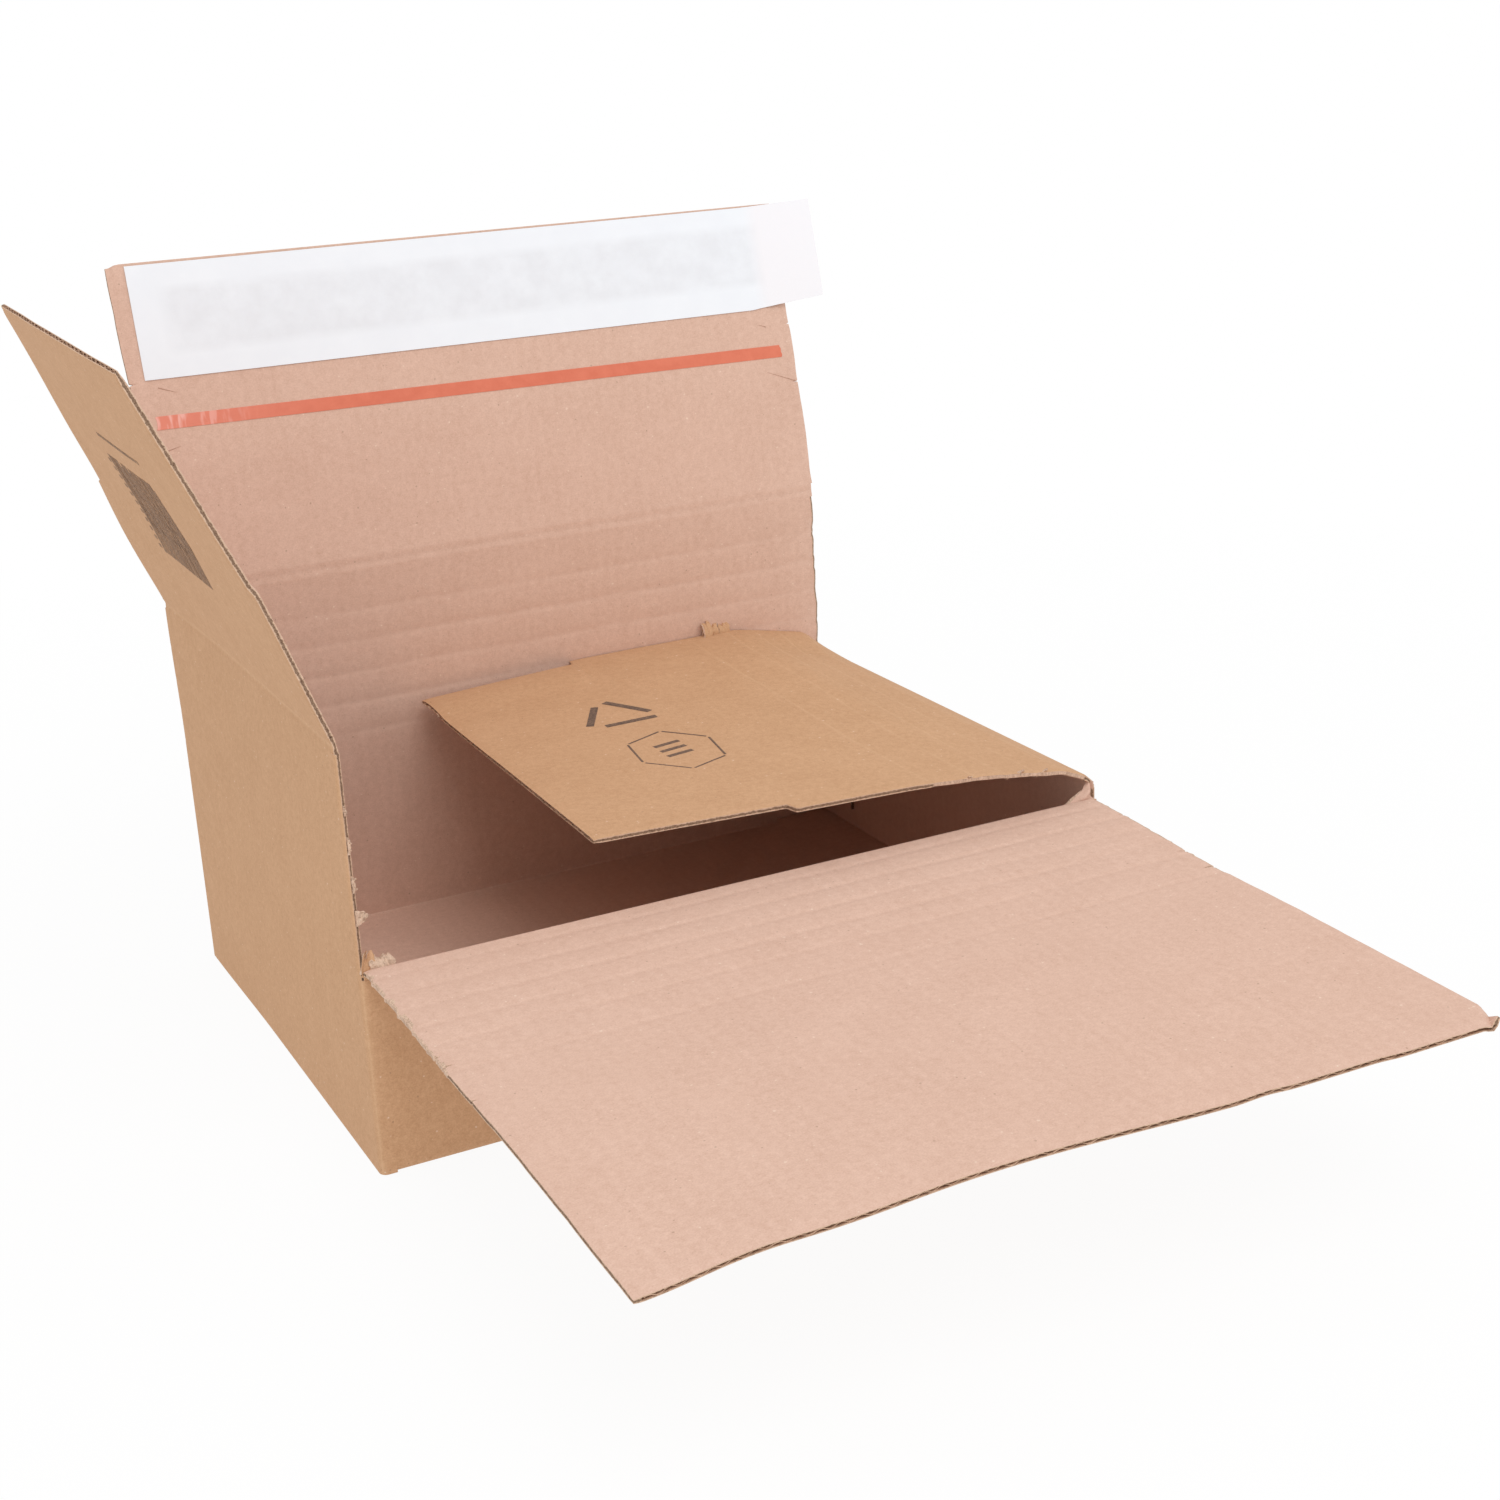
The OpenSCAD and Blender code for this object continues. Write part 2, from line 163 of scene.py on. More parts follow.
class Build:
    """Vertices and faces of one piece in millimetres, gathered from several closed shells."""

    def __init__(self):
        self.verts, self.faces, self.slots = [], [], []
        self.pan, self.crease = [], []
        self.count = 0

    def add(self, verts, faces, slots, pan, crease):
        self.verts.append(verts)
        self.faces += [[i + self.count for i in f] for f in faces]
        self.slots += slots
        self.pan.append(pan)
        self.crease.append(crease)
        self.count += len(verts)

    def done(self, name, mats, body=None, slot=None):
        """The finished object. With a single material, all faces take it."""
        mesh = bpy.data.meshes.new(name)
        mesh.from_pydata((np.concatenate(self.verts) * MM).tolist(), [], self.faces)
        mesh.update()
        for m in mats:
            mesh.materials.append(m)
        slots = np.array(self.slots, np.int32) * (len(mats) > 1)
        mesh.polygons.foreach_set("material_index", slots)
        mesh.polygons.foreach_set("use_smooth", np.full(len(self.faces), True))
        pan = np.concatenate(self.pan).astype(np.float32)
        mesh.attributes.new("pan", "FLOAT_VECTOR", "POINT").data.foreach_set("vector", pan.ravel())
        crease = np.concatenate(self.crease).astype(np.float32)
        mesh.attributes.new("crease", "FLOAT", "POINT").data.foreach_set("value", crease)
        mesh.edges.foreach_set("use_edge_sharp", sharp_edges(mesh, slots))
        obj = add_object(name, mesh)
        if body:
            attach(obj, body)
        return obj if slot else obj


def board_shell(build, mid, nrm, h_out, h_in, u, s, crease=0.0, keep=None, wrap=False, flutes=None,
                flip=False, frayed=None, torn_rim=None, kinds=(OUTER, INNER, RIM)):
    """Closed board from a grid of mid points. keep masks its cells, wrap joins the last column to the first,
    flutes is (depth in rows, first column, last column) of the open channel end at the last row. frayed marks
    inner cells whose facing is torn off, and torn_rim the rows whose side edges are torn. kinds are the
    materials of the outer face, the inner face and the rim."""
    m, n = mid.shape[:2]
    last = m - 1
    outer, inner, rim = kinds
    h_out, h_in, crease = (np.broadcast_to(v, (m, n)) for v in (h_out, h_in, crease))
    cols = n if wrap else n - 1
    keep = np.ones((last, cols), bool) if keep is None else keep
    verts = [(mid + nrm * h_out[..., None]).reshape(-1, 3), (mid - nrm * h_in[..., None]).reshape(-1, 3)]
    pan = [np.stack([u, s, np.full((m, n), side)], -1).reshape(-1, 3) for side in (1.0, -1.0)]
    marks = [crease.ravel(), crease.ravel()]
    faces, slots = [], []

    def a(i, j):
        return i * n + j % n

    def b(i, j):
        return m * n + a(i, j)

    def quad(p, q, r, t, slot):
        faces.append([p, q, r, t] if not flip else [t, r, q, p])
        slots.append(slot)

    def has(i, j):
        j = j % n if wrap else j
        return 0 <= i < last and 0 <= j < cols and keep[i, j]

    cells = list(zip(*(v.tolist() for v in np.nonzero(keep))))
    for i, j in cells:
        quad(a(i, j), a(i + 1, j), a(i + 1, j + 1), a(i, j + 1), outer)
        bare = frayed is not None and frayed[i, j]
        quad(b(i, j), b(i, j + 1), b(i + 1, j + 1), b(i + 1, j), TORN if bare else inner)
    open_cols = set()
    if flutes:
        rows, j0, j1 = flutes
        deep = last - rows
        ring = []
        for j in range(j0, j1 + 1):
            ring.append([2 * m * n + 4 * (j - j0) + q for q in range(4)])
            for i, side in ((last, 1), (deep, 1), (deep, -1), (last, -1)):
                h = (h_out if side > 0 else h_in)[i, j] - LINER
                verts.append((mid[i, j] + nrm[i, j] * side * h)[None])
                pan.append(np.array([[u[i, j], s[i, j], 0.5 * side]]))
                marks.append(np.zeros(1))
        for r0, r1, j in zip(ring, ring[1:], range(j0, j1)):
            quad(a(last, j), r0[0], r1[0], a(last, j + 1), rim)
            for q in range(3):
                quad(r0[q], r0[q + 1], r1[q + 1], r1[q], FLUTE)
            quad(r0[3], b(last, j), b(last, j + 1), r1[3], rim)
            open_cols.add(j)
        r0, r1 = ring[0], ring[-1]
        quad(r0[0], r0[3], r0[2], r0[1], FLUTE)
        quad(r1[0], r1[1], r1[2], r1[3], FLUTE)
        quad(a(last, j0), b(last, j0), r0[3], r0[0], rim)
        quad(a(last, j1), r1[0], r1[3], b(last, j1), rim)
    for i, j in cells:
        if not has(i + 1, j) and not (i == last - 1 and j in open_cols):
            quad(a(i + 1, j), b(i + 1, j), b(i + 1, j + 1), a(i + 1, j + 1), rim)
        if not has(i - 1, j):
            quad(a(i, j), a(i, j + 1), b(i, j + 1), b(i, j), rim)
        side = TORN if torn_rim is not None and torn_rim[i] else rim
        if not has(i, j - 1):
            quad(a(i, j), b(i, j), b(i + 1, j), a(i + 1, j), side)
        if not has(i, j + 1):
            quad(a(i, j + 1), a(i + 1, j + 1), b(i + 1, j + 1), b(i, j + 1), side)
    build.add(np.concatenate(verts), faces, slots, np.concatenate(pan), np.concatenate(marks))


class Panel:
    """A board hinged to its wall. lean(u, s) is its lean outwards from upright, in degrees."""

    def __init__(self, wall, z, lean, lift, bend=None):
        self.wall, self.z, self.lean, self.lift, self.bend = wall, z, lean, lift, bend

    def path(self, u, s):
        """Outward reach, height and lean of mid points on a grid."""
        steps = np.arange(SEAM, max(s.max(), SEAM) + 1.0, 0.5)
        reach, rise, tilt = (np.zeros(s.shape) for _ in range(3))
        for j in range(s.shape[1]):
            uj = float(np.median(u[:, j]))
            root = math.radians(float(self.lean(uj, 0.0)))
            a = np.radians(self.lean(uj, steps))
            mid = (a[1:] + a[:-1]) / 2
            x = SEAM * math.sin(root) + np.concatenate([[0], np.cumsum(np.sin(mid) * 0.5)])
            y = SEAM * math.cos(root) + np.concatenate([[0], np.cumsum(np.cos(mid) * 0.5)])
            sj = s[:, j]
            t = np.clip((sj + SEAM) / (2 * SEAM), 0, 1)
            bx, by = t * t * SEAM * math.sin(root), -(1 - t) ** 2 * SEAM + t * t * SEAM * math.cos(root)
            dx, dy = t * math.sin(root), (1 - t) + t * math.cos(root)
            far, low = sj > SEAM, sj < -SEAM
            reach[:, j] = np.where(far, np.interp(sj, steps, x), np.where(low, 0, bx))
            rise[:, j] = np.where(far, np.interp(sj, steps, y), np.where(low, sj, by))
            tilt[:, j] = np.where(far, np.interp(sj, steps, a), np.where(low, 0, np.arctan2(dx, dy)))
        return reach, rise, tilt

    def grid(self, u, s):
        u, s = np.broadcast_arrays(np.asarray(u, float), np.asarray(s, float))
        lift = self.lift(u, s)
        if self.bend:
            u, s, more = self.bend(u, s)
            lift = lift + more
        reach, rise, tilt = self.path(u, s)
        mid = place(self.wall, u, reach, self.z + rise)
        nrm = direct(self.wall, np.cos(tilt), -np.sin(tilt))
        return mid + nrm * lift[..., None], nrm


# How deep creases and hinges go and how far the bands between creases bulge, in millimetres, and the share of
# its thickness that the board loses at side edges, end edges and frayed edges
CREASE_IN, CREASE_OUT, HINGE_DEEP, BULGE = 0.36, 0.10, 0.30, 0.15
SIDE_CRUSH, END_CRUSH, FRAY_CRUSH = 0.30, 0.32, 0.4


def thickness(u, s, creases, edge_side=None, edge_end=None, hinge=True, seed=0, fray_to=-1.0, deep=1.0):
    """Half thickness outside and inside on a grid, and how creased each point is. Creases and edges are
    crushed, and the bands between creases bulge."""
    h_out, h_in = np.full(s.shape, HALF), np.full(s.shape, HALF)
    mark = np.zeros(s.shape)
    for i, c in enumerate(creases):
        line = c + 0.4 * wobble(seed + i, u, 25)
        strong = 0.75 + 0.25 * wobble(seed + 70 + i, u, 22)
        h_in = h_in - CREASE_IN * deep * strong * hump((s - line) / 2.7)
        h_out = h_out - CREASE_OUT * deep * strong * hump((s - line) / 1.6)
        mark = np.maximum(mark, strong * hump((s - line) / 1.0))
    for a, b in zip(creases, creases[1:]):
        h_in = h_in + BULGE * deep * hump((s - (a + b) / 2) / ((b - a) / 2))
    if hinge:
        h_out = h_out - HINGE_DEEP * hump(s / SEAM)
        h_in = h_in - HINGE_DEEP * hump(s / SEAM)
        mark = np.maximum(mark, hump(s / 1.5))
    for d, reach, share in ((edge_side, 2.2, SIDE_CRUSH), (edge_end, 4.0, END_CRUSH)):
        if d is not None:
            k = 1 - share * (1 - ease(0, reach, d))
            h_out, h_in = h_out * k, h_in * k
    if fray_to > 0:
        h_in = h_in * (1 - FRAY_CRUSH * (1 - ease(0, 1.8, edge_side)) * (s < fray_to))
    return h_out, h_in, mark


def spread(n, left, right, extra=()):
    """Column positions from left to right, closer together at both ends and round the extra places."""
    near, margin = np.array([0, 0.25, 0.7, 1.4, 2.4]), 3.6
    added = [(x + LONG_HALF) / (2 * LONG_HALF) + np.array([-1.4, -0.7, 0.7, 1.4]) / 300 for x in extra]
    t = np.sort(np.concatenate([np.linspace(0, 1, n)] + added))
    rows = []
    for l, r in zip(left, right):
        core = l + margin + t * (r - l - 2 * margin)
        rows.append(np.concatenate([l + near, core, (r - near)[::-1]]))
    return np.stack(rows)


def medium(build, panel, s_end, u0, u1, seed, end):
    """The fluted paper that shows at a cut edge, as a wavy strip between the facings."""
    thick, clear = 0.2, 0.12
    across = np.arange(u0, u1, PITCH / 12)
    depth = np.array([2.7, 1.3, 0.1])[:, None]
    ragged = np.array([0.0, 0.0, 0.25])[:, None] * wobble(seed, across, 4.0)
    s = s_end - depth + ragged + end(across)
    u = np.broadcast_to(across, s.shape)
    mid, nrm = panel.grid(u, s)
    squeeze = HALF * (1 - END_CRUSH * (1 - ease(0, 4.0, depth))) - LINER - clear
    phase = 2 * math.pi * u / PITCH + 0.5 * wobble(seed + 3, u, 30)
    wave = squeeze * np.clip(1.15 * np.cos(phase), -1, 1)
    board_shell(build, mid + nrm * wave[..., None], nrm, thick / 2, thick / 2, u, s, kinds=(FLUTE,) * 3)


# Materials
def node_material(name):
    mat = bpy.data.materials.new(name)
    mat.use_nodes = True
    return mat, Nodes(mat.node_tree)


class Nodes:
    """Short way to write a node tree."""

    def __init__(self, tree):
        self.tree = tree
        tree.nodes.clear()

    def new(self, kind, inputs=None, **settings):
        node = self.tree.nodes.new(kind)
        for key, value in settings.items():
            setattr(node, key, value)
        for key, value in (inputs or {}).items():
            self.put(node, key, value)
        return node

    def put(self, node, key, value):
        socket = node.inputs[key]
        if isinstance(value, bpy.types.NodeSocket):
            self.tree.links.new(value, socket)
        else:
            socket.default_value = value

    def position(self):
        return self.new("ShaderNodeTexCoord").outputs["Object"]

    def stored(self, name, output="Vector"):
        return self.new("ShaderNodeAttribute", attribute_name=name).outputs[output]

    def parts(self, vector):
        return self.new("ShaderNodeSeparateXYZ", {0: vector}).outputs

    def math(self, op, a, b=0.0, clamp=False):
        node = self.new("ShaderNodeMath", operation=op, use_clamp=clamp)
        self.put(node, 0, a)
        if op not in ("SINE", "ABSOLUTE"):
            self.put(node, 1, b)
        return node.outputs[0]

    def plus(self, a, b, clamp=False):
        return self.math("ADD", a, b, clamp)

    def times(self, a, b):
        return self.math("MULTIPLY", a, b)

    def noise(self, vector, scale, detail=3.0, rough=0.55):
        return self.new("ShaderNodeTexNoise", {"Vector": vector, "Scale": scale, "Detail": detail,
                                               "Roughness": rough}).outputs["Fac"]

    def cells(self, vector, scale):
        return self.new("ShaderNodeTexVoronoi", {"Vector": vector, "Scale": scale}).outputs["Distance"]

    def remap(self, value, a, b, c, d):
        return self.new("ShaderNodeMapRange", {"Value": value, "From Min": a, "From Max": b,
                                               "To Min": c, "To Max": d}).outputs["Result"]

    def mix(self, factor, a, b):
        node = self.new("ShaderNodeMix", data_type="RGBA")
        for socket, value in ((0, factor), (6, a), (7, b)):
            self.put(node, socket, value)
        return node.outputs[2]

    def scaled(self, vector, x, y, z):
        return self.new("ShaderNodeVectorMath", {0: vector, 1: (x, y, z)}, operation="MULTIPLY").outputs[0]

    def surface(self, colour, rough, specular, height, strength, distance):
        """The material's surface, with a bump from height."""
        bump = self.new("ShaderNodeBump", {"Strength": strength, "Distance": distance, "Height": height})
        shader = self.new("ShaderNodeBsdfPrincipled", {"Base Color": colour, "Roughness": rough,
                                                       "Normal": bump.outputs["Normal"],
                                                       "Specular IOR Level": specular})
        self.new("ShaderNodeOutputMaterial", {"Surface": shader.outputs[0]})


def rgb(r, g, b):
    """Linear colour from 0..255 screen values."""
    def lin(c):
        c /= 255
        return c / 12.92 if c <= 0.04045 else ((c + 0.055) / 1.055) ** 2.4
    return (lin(r), lin(g), lin(b), 1)


def kraft(name, base, dark, light, flute=1.0, line=rgb(120, 88, 66), line_amount=0.05):
    """Kraft paper: fine fibres, specks, mottling, a hint of the flutes below, and faint crease lines. A dark
    line colour paints shade into creases, hinges and corners; a pale one gives pale crease lines.
    """
    mat, k = node_material(name)
    pos = k.position()
    pan = k.stored("pan")
    cloud = k.noise(pos, 45, 4, 0.6)
    blotch = k.noise(pos, 420, 3, 0.6)
    grain = k.noise(pos, 1900, 2, 0.6)
    along = k.noise(k.scaled(pan, 0.5, 2.2, 1.0), 1.0, 3, 0.65)
    wave = k.math("SINE", k.times(k.parts(pan)["X"], 2 * math.pi / PITCH))
    tone = k.remap(cloud, 0.3, 0.7, -0.16, 0.16)
    for layer, amount in ((blotch, 0.42), (grain, 0.62), (along, 0.22)):
        tone = k.plus(tone, k.remap(layer, 0.25, 0.75, -amount, amount))
    tone = k.plus(tone, k.times(wave, 0.06 * flute))
    colour = k.mix(0.3, k.mix(k.remap(tone, -0.9, 0.9, 0.0, 1.0), dark, light), base)
    speck = k.math("LESS_THAN", k.cells(pos, 230.0), 0.09)
    speck = k.times(speck, k.math("GREATER_THAN", k.noise(pos, 300, 1, 0.5), 0.56))
    colour = k.mix(k.times(speck, 0.3), colour, rgb(110, 82, 60))
    fleck = k.cells(k.scaled(pos, 1.0, 1.0, 1.3), 210.0)
    fleck = k.math("LESS_THAN", fleck, k.remap(blotch, 0.35, 0.65, 0.02, 0.11))
    colour = k.mix(k.times(fleck, 0.35), colour, rgb(244, 228, 210))
    # Crease, hinge and corner marks move the colour towards line: with a dark line this is painted shade, with
    # a pale line a pale crease line.
    crease_line_and_shade = k.remap(k.noise(pos, 500, 3, 0.6), 0.35, 0.65, 0.4, 1.0)
    crease_line_and_shade = k.times(k.stored("crease", "Fac"), crease_line_and_shade)
    colour = k.mix(k.times(crease_line_and_shade, line_amount), colour, line)
    height = k.times(grain, 0.25)
    for layer, amount in ((along, 0.1), (blotch, 0.5), (wave, 0.1 * flute)):
        height = k.plus(height, k.times(layer, amount))
    k.surface(colour, k.remap(grain, 0.3, 0.7, 0.81, 0.92), 0.2, height, 0.25, 0.0002)
    return mat


def torn_paper(name):
    """Torn board: pale fibrous layers with dark streaks between them."""
    mat, k = node_material(name)
    pos = k.position()
    streak = k.noise(k.scaled(pos, 1.0, 1.0, 0.35), 900, 4, 0.7)
    fuzz = k.noise(pos, 2600, 3, 0.7)
    colour = k.mix(k.remap(streak, 0.35, 0.65, 0.0, 1.0), rgb(150, 116, 92), rgb(222, 190, 164))
    colour = k.mix(k.remap(fuzz, 0.3, 0.7, 0.0, 0.6), colour, rgb(236, 210, 190))
    height = k.plus(streak, k.times(fuzz, 0.6))
    k.surface(colour, k.remap(fuzz, 0.3, 0.7, 0.88, 0.98), 0.1, height, 0.6, 0.0005)
    return mat


def cut_edge_painted_shade(name, pale, deep):
    """Cut or torn side of the board: two facings with a crushed middle, darkened with painted shade for the
    gaps in the flutes.
    """
    mat, k = node_material(name)
    pos = k.position()
    depth = k.math("ABSOLUTE", k.parts(k.stored("pan"))["Z"])
    ragged = k.remap(k.noise(pos, 900, 3, 0.6), 0.3, 0.7, -0.3, 0.3)
    middle = k.math("SUBTRACT", 1.0, k.plus(depth, ragged), clamp=True)
    # The dark middle is painted shade for the gaps between the facings.
    colour = k.mix(k.remap(middle, 0.3, 0.58, 0.0, 1.0), pale, deep)
    colour = k.mix(k.remap(k.noise(pos, 2400, 2), 0.3, 0.7, 0.0, 0.35), colour, rgb(225, 196, 165))
    k.surface(colour, 0.92, 0.15, k.noise(pos, 1600, 3), 0.8, 0.0004)
    return mat


def plain(name, base, second, scale, amount, rough, specular, bump, extra=None):
    """Simple coated material with two mixed tones and a fine bump. extra adds to its colour."""
    mat, k = node_material(name)
    pos = k.position()
    cloud = k.noise(pos, scale, 4, 0.6)
    colour = k.mix(k.remap(cloud, 0.35, 0.65, 0.0, amount), base, second)
    if extra:
        colour = extra(k, pos, colour)
    fine = k.noise(pos, 1500, 2)
    rough = k.remap(fine, 0.3, 0.7, rough - 0.04, rough + 0.04)
    k.surface(colour, rough, specular, k.plus(fine, cloud), bump, 0.0002)
    return mat


def show_through(k, pos, colour):
    """Thin liner looks darker where board and adhesive lie behind it."""
    x, y = k.parts(k.stored("pan"))[:2]
    field = k.remap(k.math("ABSOLUTE", k.math("SUBTRACT", y, GLUE_S)), 11.0, 15.0, 1.0, 0.0)
    field = k.times(field, k.remap(x, -136.0, -128.0, 0.0, 1.0))
    patchy = k.remap(k.noise(pos, 90, 4, 0.6), 0.35, 0.65, 0.35, 1.0)
    colour = k.mix(k.times(field, patchy), colour, rgb(228, 231, 236))
    return k.mix(k.remap(x, TAB_AT - 2.0, TAB_AT + 5.0, 0.0, 1.0), colour, rgb(241, 241, 245))


def pale_banded_end(k, pos, colour):
    """Pale left end of the tear tape with milky bands across it."""
    pan = k.stored("pan")
    x = k.parts(pan)["X"]
    colour = k.mix(k.remap(x, -145.0, -70.0, 0.55, 0.0), colour, rgb(234, 148, 128))
    near = k.remap(x, -132.0, -100.0, 1.0, 0.0)
    bands = k.remap(k.noise(k.scaled(pan, 0.3, 0.06, 1.0), 1.0, 2, 0.6), 0.5, 0.62, 0.0, 0.75)
    return k.mix(k.times(near, bands), colour, rgb(242, 186, 174))


# The outer face gets pale crease lines; the inner face keeps the dark default line, painted shade in its
# creases, hinges and corners.
KRAFT_OUT = kraft("kraft_outer_face", rgb(201, 158, 121), rgb(181, 138, 101), rgb(217, 176, 140), flute=0.15,
                  line=rgb(226, 190, 152), line_amount=0.28)
KRAFT_IN = kraft("kraft_inner_face", rgb(214, 178, 159), rgb(198, 161, 141), rgb(229, 196, 178))
EDGE = cut_edge_painted_shade("board_cut_edge", rgb(208, 176, 152), rgb(104, 76, 60))
FLUTING = plain("fluting_paper", rgb(218, 184, 158), rgb(186, 150, 124), 300, 1.0, 0.9, 0.15, 0.3)
TORN_MAT = torn_paper("torn_board")
BOARD_MATS = [KRAFT_OUT, KRAFT_IN, EDGE, FLUTING, TORN_MAT]
LINER_MAT = plain("release_paper", rgb(238, 242, 247), rgb(233, 237, 243), 60, 0.5, 0.42, 0.4, 0.05,
                  show_through)
TAPE_MAT = plain("tear_film", rgb(220, 122, 94), rgb(212, 112, 84), 160, 0.8, 0.5, 0.4, 0.1, pale_banded_end)
GLUE_MAT = plain("tacky_adhesive", rgb(215, 205, 180), rgb(190, 178, 150), 200, 0.8, 0.3, 0.5, 0.3)
INK = plain("printing_ink", rgb(92, 76, 68), rgb(136, 110, 92), 900, 0.9, 0.8, 0.2, 0.1)
# Dark slivers for the slits on the back flap: painted shadow.
SLIT_SHADOW = plain("slit_shadow", rgb(168, 128, 110), rgb(194, 154, 134), 800, 0.8, 0.9, 0.1, 0.1)
FAINT = plain("worn_printing_ink", rgb(128, 103, 86), rgb(168, 134, 106), 700, 1.0, 0.8, 0.2, 0.1)


# Walls and bottom
def body_columns():
    """Columns round the body: wall name, place across it, mid point, normal and corner step of each."""
    cols, pitch, corner_steps = [], 3.2, 6
    for wall in NEXT:
        straight = (SIDE_W if wall in ("back", "front") else SIDE_D) - HALF - CORNER_R
        for u in np.linspace(-straight, straight, int(round(2 * straight / pitch)) + 1):
            cols.append((wall, u, place(wall, u, 0.0, 0.0), direct(wall, 1.0, 0.0), 0))
        centre = place(wall, straight, -CORNER_R, 0.0)
        for k in range(1, corner_steps):
            share = k / corner_steps
            a = math.radians(90 + WALLS[wall][0]) - math.pi / 2 * share
            n = np.array([math.cos(a), math.sin(a), 0.0])
            side, u = (wall, straight + CORNER_R * share) if share <= 0.5 else (NEXT[wall], -straight)
            cols.append((side, u, centre + CORNER_R * n, n, k))
    return cols


def build_body():
    """Walls and bottom. The back wall's right edge is ragged, and the left wall's back part is bowed out."""
    build = Build()
    wall_deep, corner_in, ragged_wide = 0.62, 1.05, 14
    cols = body_columns()
    n = len(cols)
    marks = sorted({round(LINES[w] + r, 3) for w in LINES for r in RISES})
    tops = sorted({t - SEAM for t in TOPS.values()})
    rows = np.concatenate([[0.3, 1.2, 2.1], levels(FOOT, max(tops), marks, 4.0, 0.8, 1.6)])
    rows = np.array(sorted(set([r for r in rows if all(abs(r - t) > 0.5 for t in tops)] + tops)))
    m = len(rows)
    mid = np.repeat(np.stack([c[2] for c in cols])[None], m, 0)
    mid[..., 2] = rows[:, None]
    nrm = np.repeat(np.stack([c[3] for c in cols])[None], m, 0)
    u = np.repeat(np.array([c[1] for c in cols])[None], m, 0)
    s = np.repeat(rows[:, None], n, 1)
    h_out, h_in, crease = (np.zeros((m, n)) for _ in range(3))
    keep = np.ones((m - 1, n), bool)
    for j, (wall, across, _, _, corner) in enumerate(cols):
        lines = [LINES[wall] + r for r in RISES if LINES[wall] + r < TOPS[wall] - 5]
        h_out[:, j], h_in[:, j], mark = thickness(u[:, j], s[:, j], lines, hinge=False, seed=300,
                                                     deep=wall_deep)
        # The middle column of each rounded corner takes the crease colour too: painted shade on the inner face,
        # a pale line on the outer face.
        crease[:, j] = mark * (0.25 if wall == "left" else 1.0) + 1.2 * (corner == 3)
        if corner:
            h_in[:, j] = np.minimum(h_in[:, j], corner_in)
        following, beyond = cols[(j + 1) % n][:2]
        keep[:, j] = rows[1:] <= TOPS[following] - SEAM + 0.01
        if wall in ("front", "back") and max(abs(across), abs(beyond)) < SIDE_W - 4.0:
            keep[:3, j] = False
    back = np.array([c[0] == "back" for c in cols])[None]
    edge = ease(SIDE_W - ragged_wide, SIDE_W - 3, u) * (back & (u > SIDE_W - ragged_wide) & (s > LOW_Z))
    ragged = 0.5 * wobble(61, s, 9.0) + 0.3 * wobble(62, s, 2.0) - 0.3
    mid[..., 0] += edge * (ragged - 0.9 * ease(LONG_TOP - 14, LONG_TOP - 3, s))
    bow = wall_out(mid[..., 1]) * ease(-110, -151, mid[..., 0])
    mid[..., 0] -= bow * (0.9 + 1.0 * ease(100, END_TOP - SEAM, s))
    board_shell(build, mid, nrm, h_out, h_in, u, s, crease, keep, wrap=True)
    outer_bottom_flaps(build)
    inner_bottom_flaps(build)
    joint_tab(build)
    return build


def lock_edge(x):
    """How far past the middle line the locking tongue of the front outer flap reaches, at x."""
    half, reach, slant, mid = 62.0, 16.0, 14.0, 17.0
    points = [(-200, 0), (-half, 0), (slant - half, reach), (mid - slant / 2, reach),
              (mid + slant / 2, -reach), (half - slant, -reach), (half, 0), (200, 0)]
    return np.interp(x, *zip(*points))


def outer_bottom_flaps(build):
    """The two flaps that come down the long walls, turn under them and lock into each other."""
    inset, gap, glued = 4.2, 0.4, 95.0
    drop, arc = FOOT - HALF - FOLD_R, FOLD_R * math.pi / 2
    lead = drop + arc
    t = np.concatenate([np.linspace(0, lead, 7), lead + np.linspace(0, 1, 34)[1:]])[:, None]
    us = np.linspace(inset - SIDE_W, SIDE_W - inset, 120)
    u = np.repeat(us[None], len(t), 0)
    for wall, sign in (("front", 1), ("back", -1)):
        end = SIDE_D - HALF - FOLD_R + sign * lock_edge(-sign * us) - gap
        run = np.where(t <= lead, t, lead + (t - lead) * end)
        turn = np.clip((run - drop) / FOLD_R, 0, math.pi / 2)
        out = -FOLD_R * (1 - np.cos(turn)) - np.maximum(run - lead, 0)
        up = FOOT - np.minimum(run, drop) - FOLD_R * np.sin(turn)
        mid = place(wall, u, out, up)
        nrm = direct(wall, np.cos(turn), -np.sin(turn))
        diagonal = np.abs(out - HALF + SIDE_W - np.abs(u)) / math.sqrt(2)
        groove = hump(diagonal / 1.6) * (np.abs(u) > SIDE_W - glued)
        board_shell(build, mid, nrm, HALF - 0.4 * groove, HALF - 0.02, u, run, groove, flip=True)


def inner_bottom_flaps(build):
    """The two flaps at the ends, glued on the outer ones, with slanting sides."""
    half, narrow, wide = SIDE_D - BOARD - 1.0, 26.0, 95.0
    us = spread(60, [-half], [half])[0]
    run = np.linspace(0, 1, 30)[:, None] * np.clip(narrow + half - np.abs(us), narrow, wide)
    u = np.broadcast_to(us, run.shape)
    for wall in ("left", "right"):
        mid = place(wall, u, HALF - BOARD - run, 1.5 * BOARD)
        nrm = np.broadcast_to([0.0, 0.0, -1.0], mid.shape)
        board_shell(build, mid, nrm, HALF - 0.02, HALF - 0.02, u, run, flip=True)


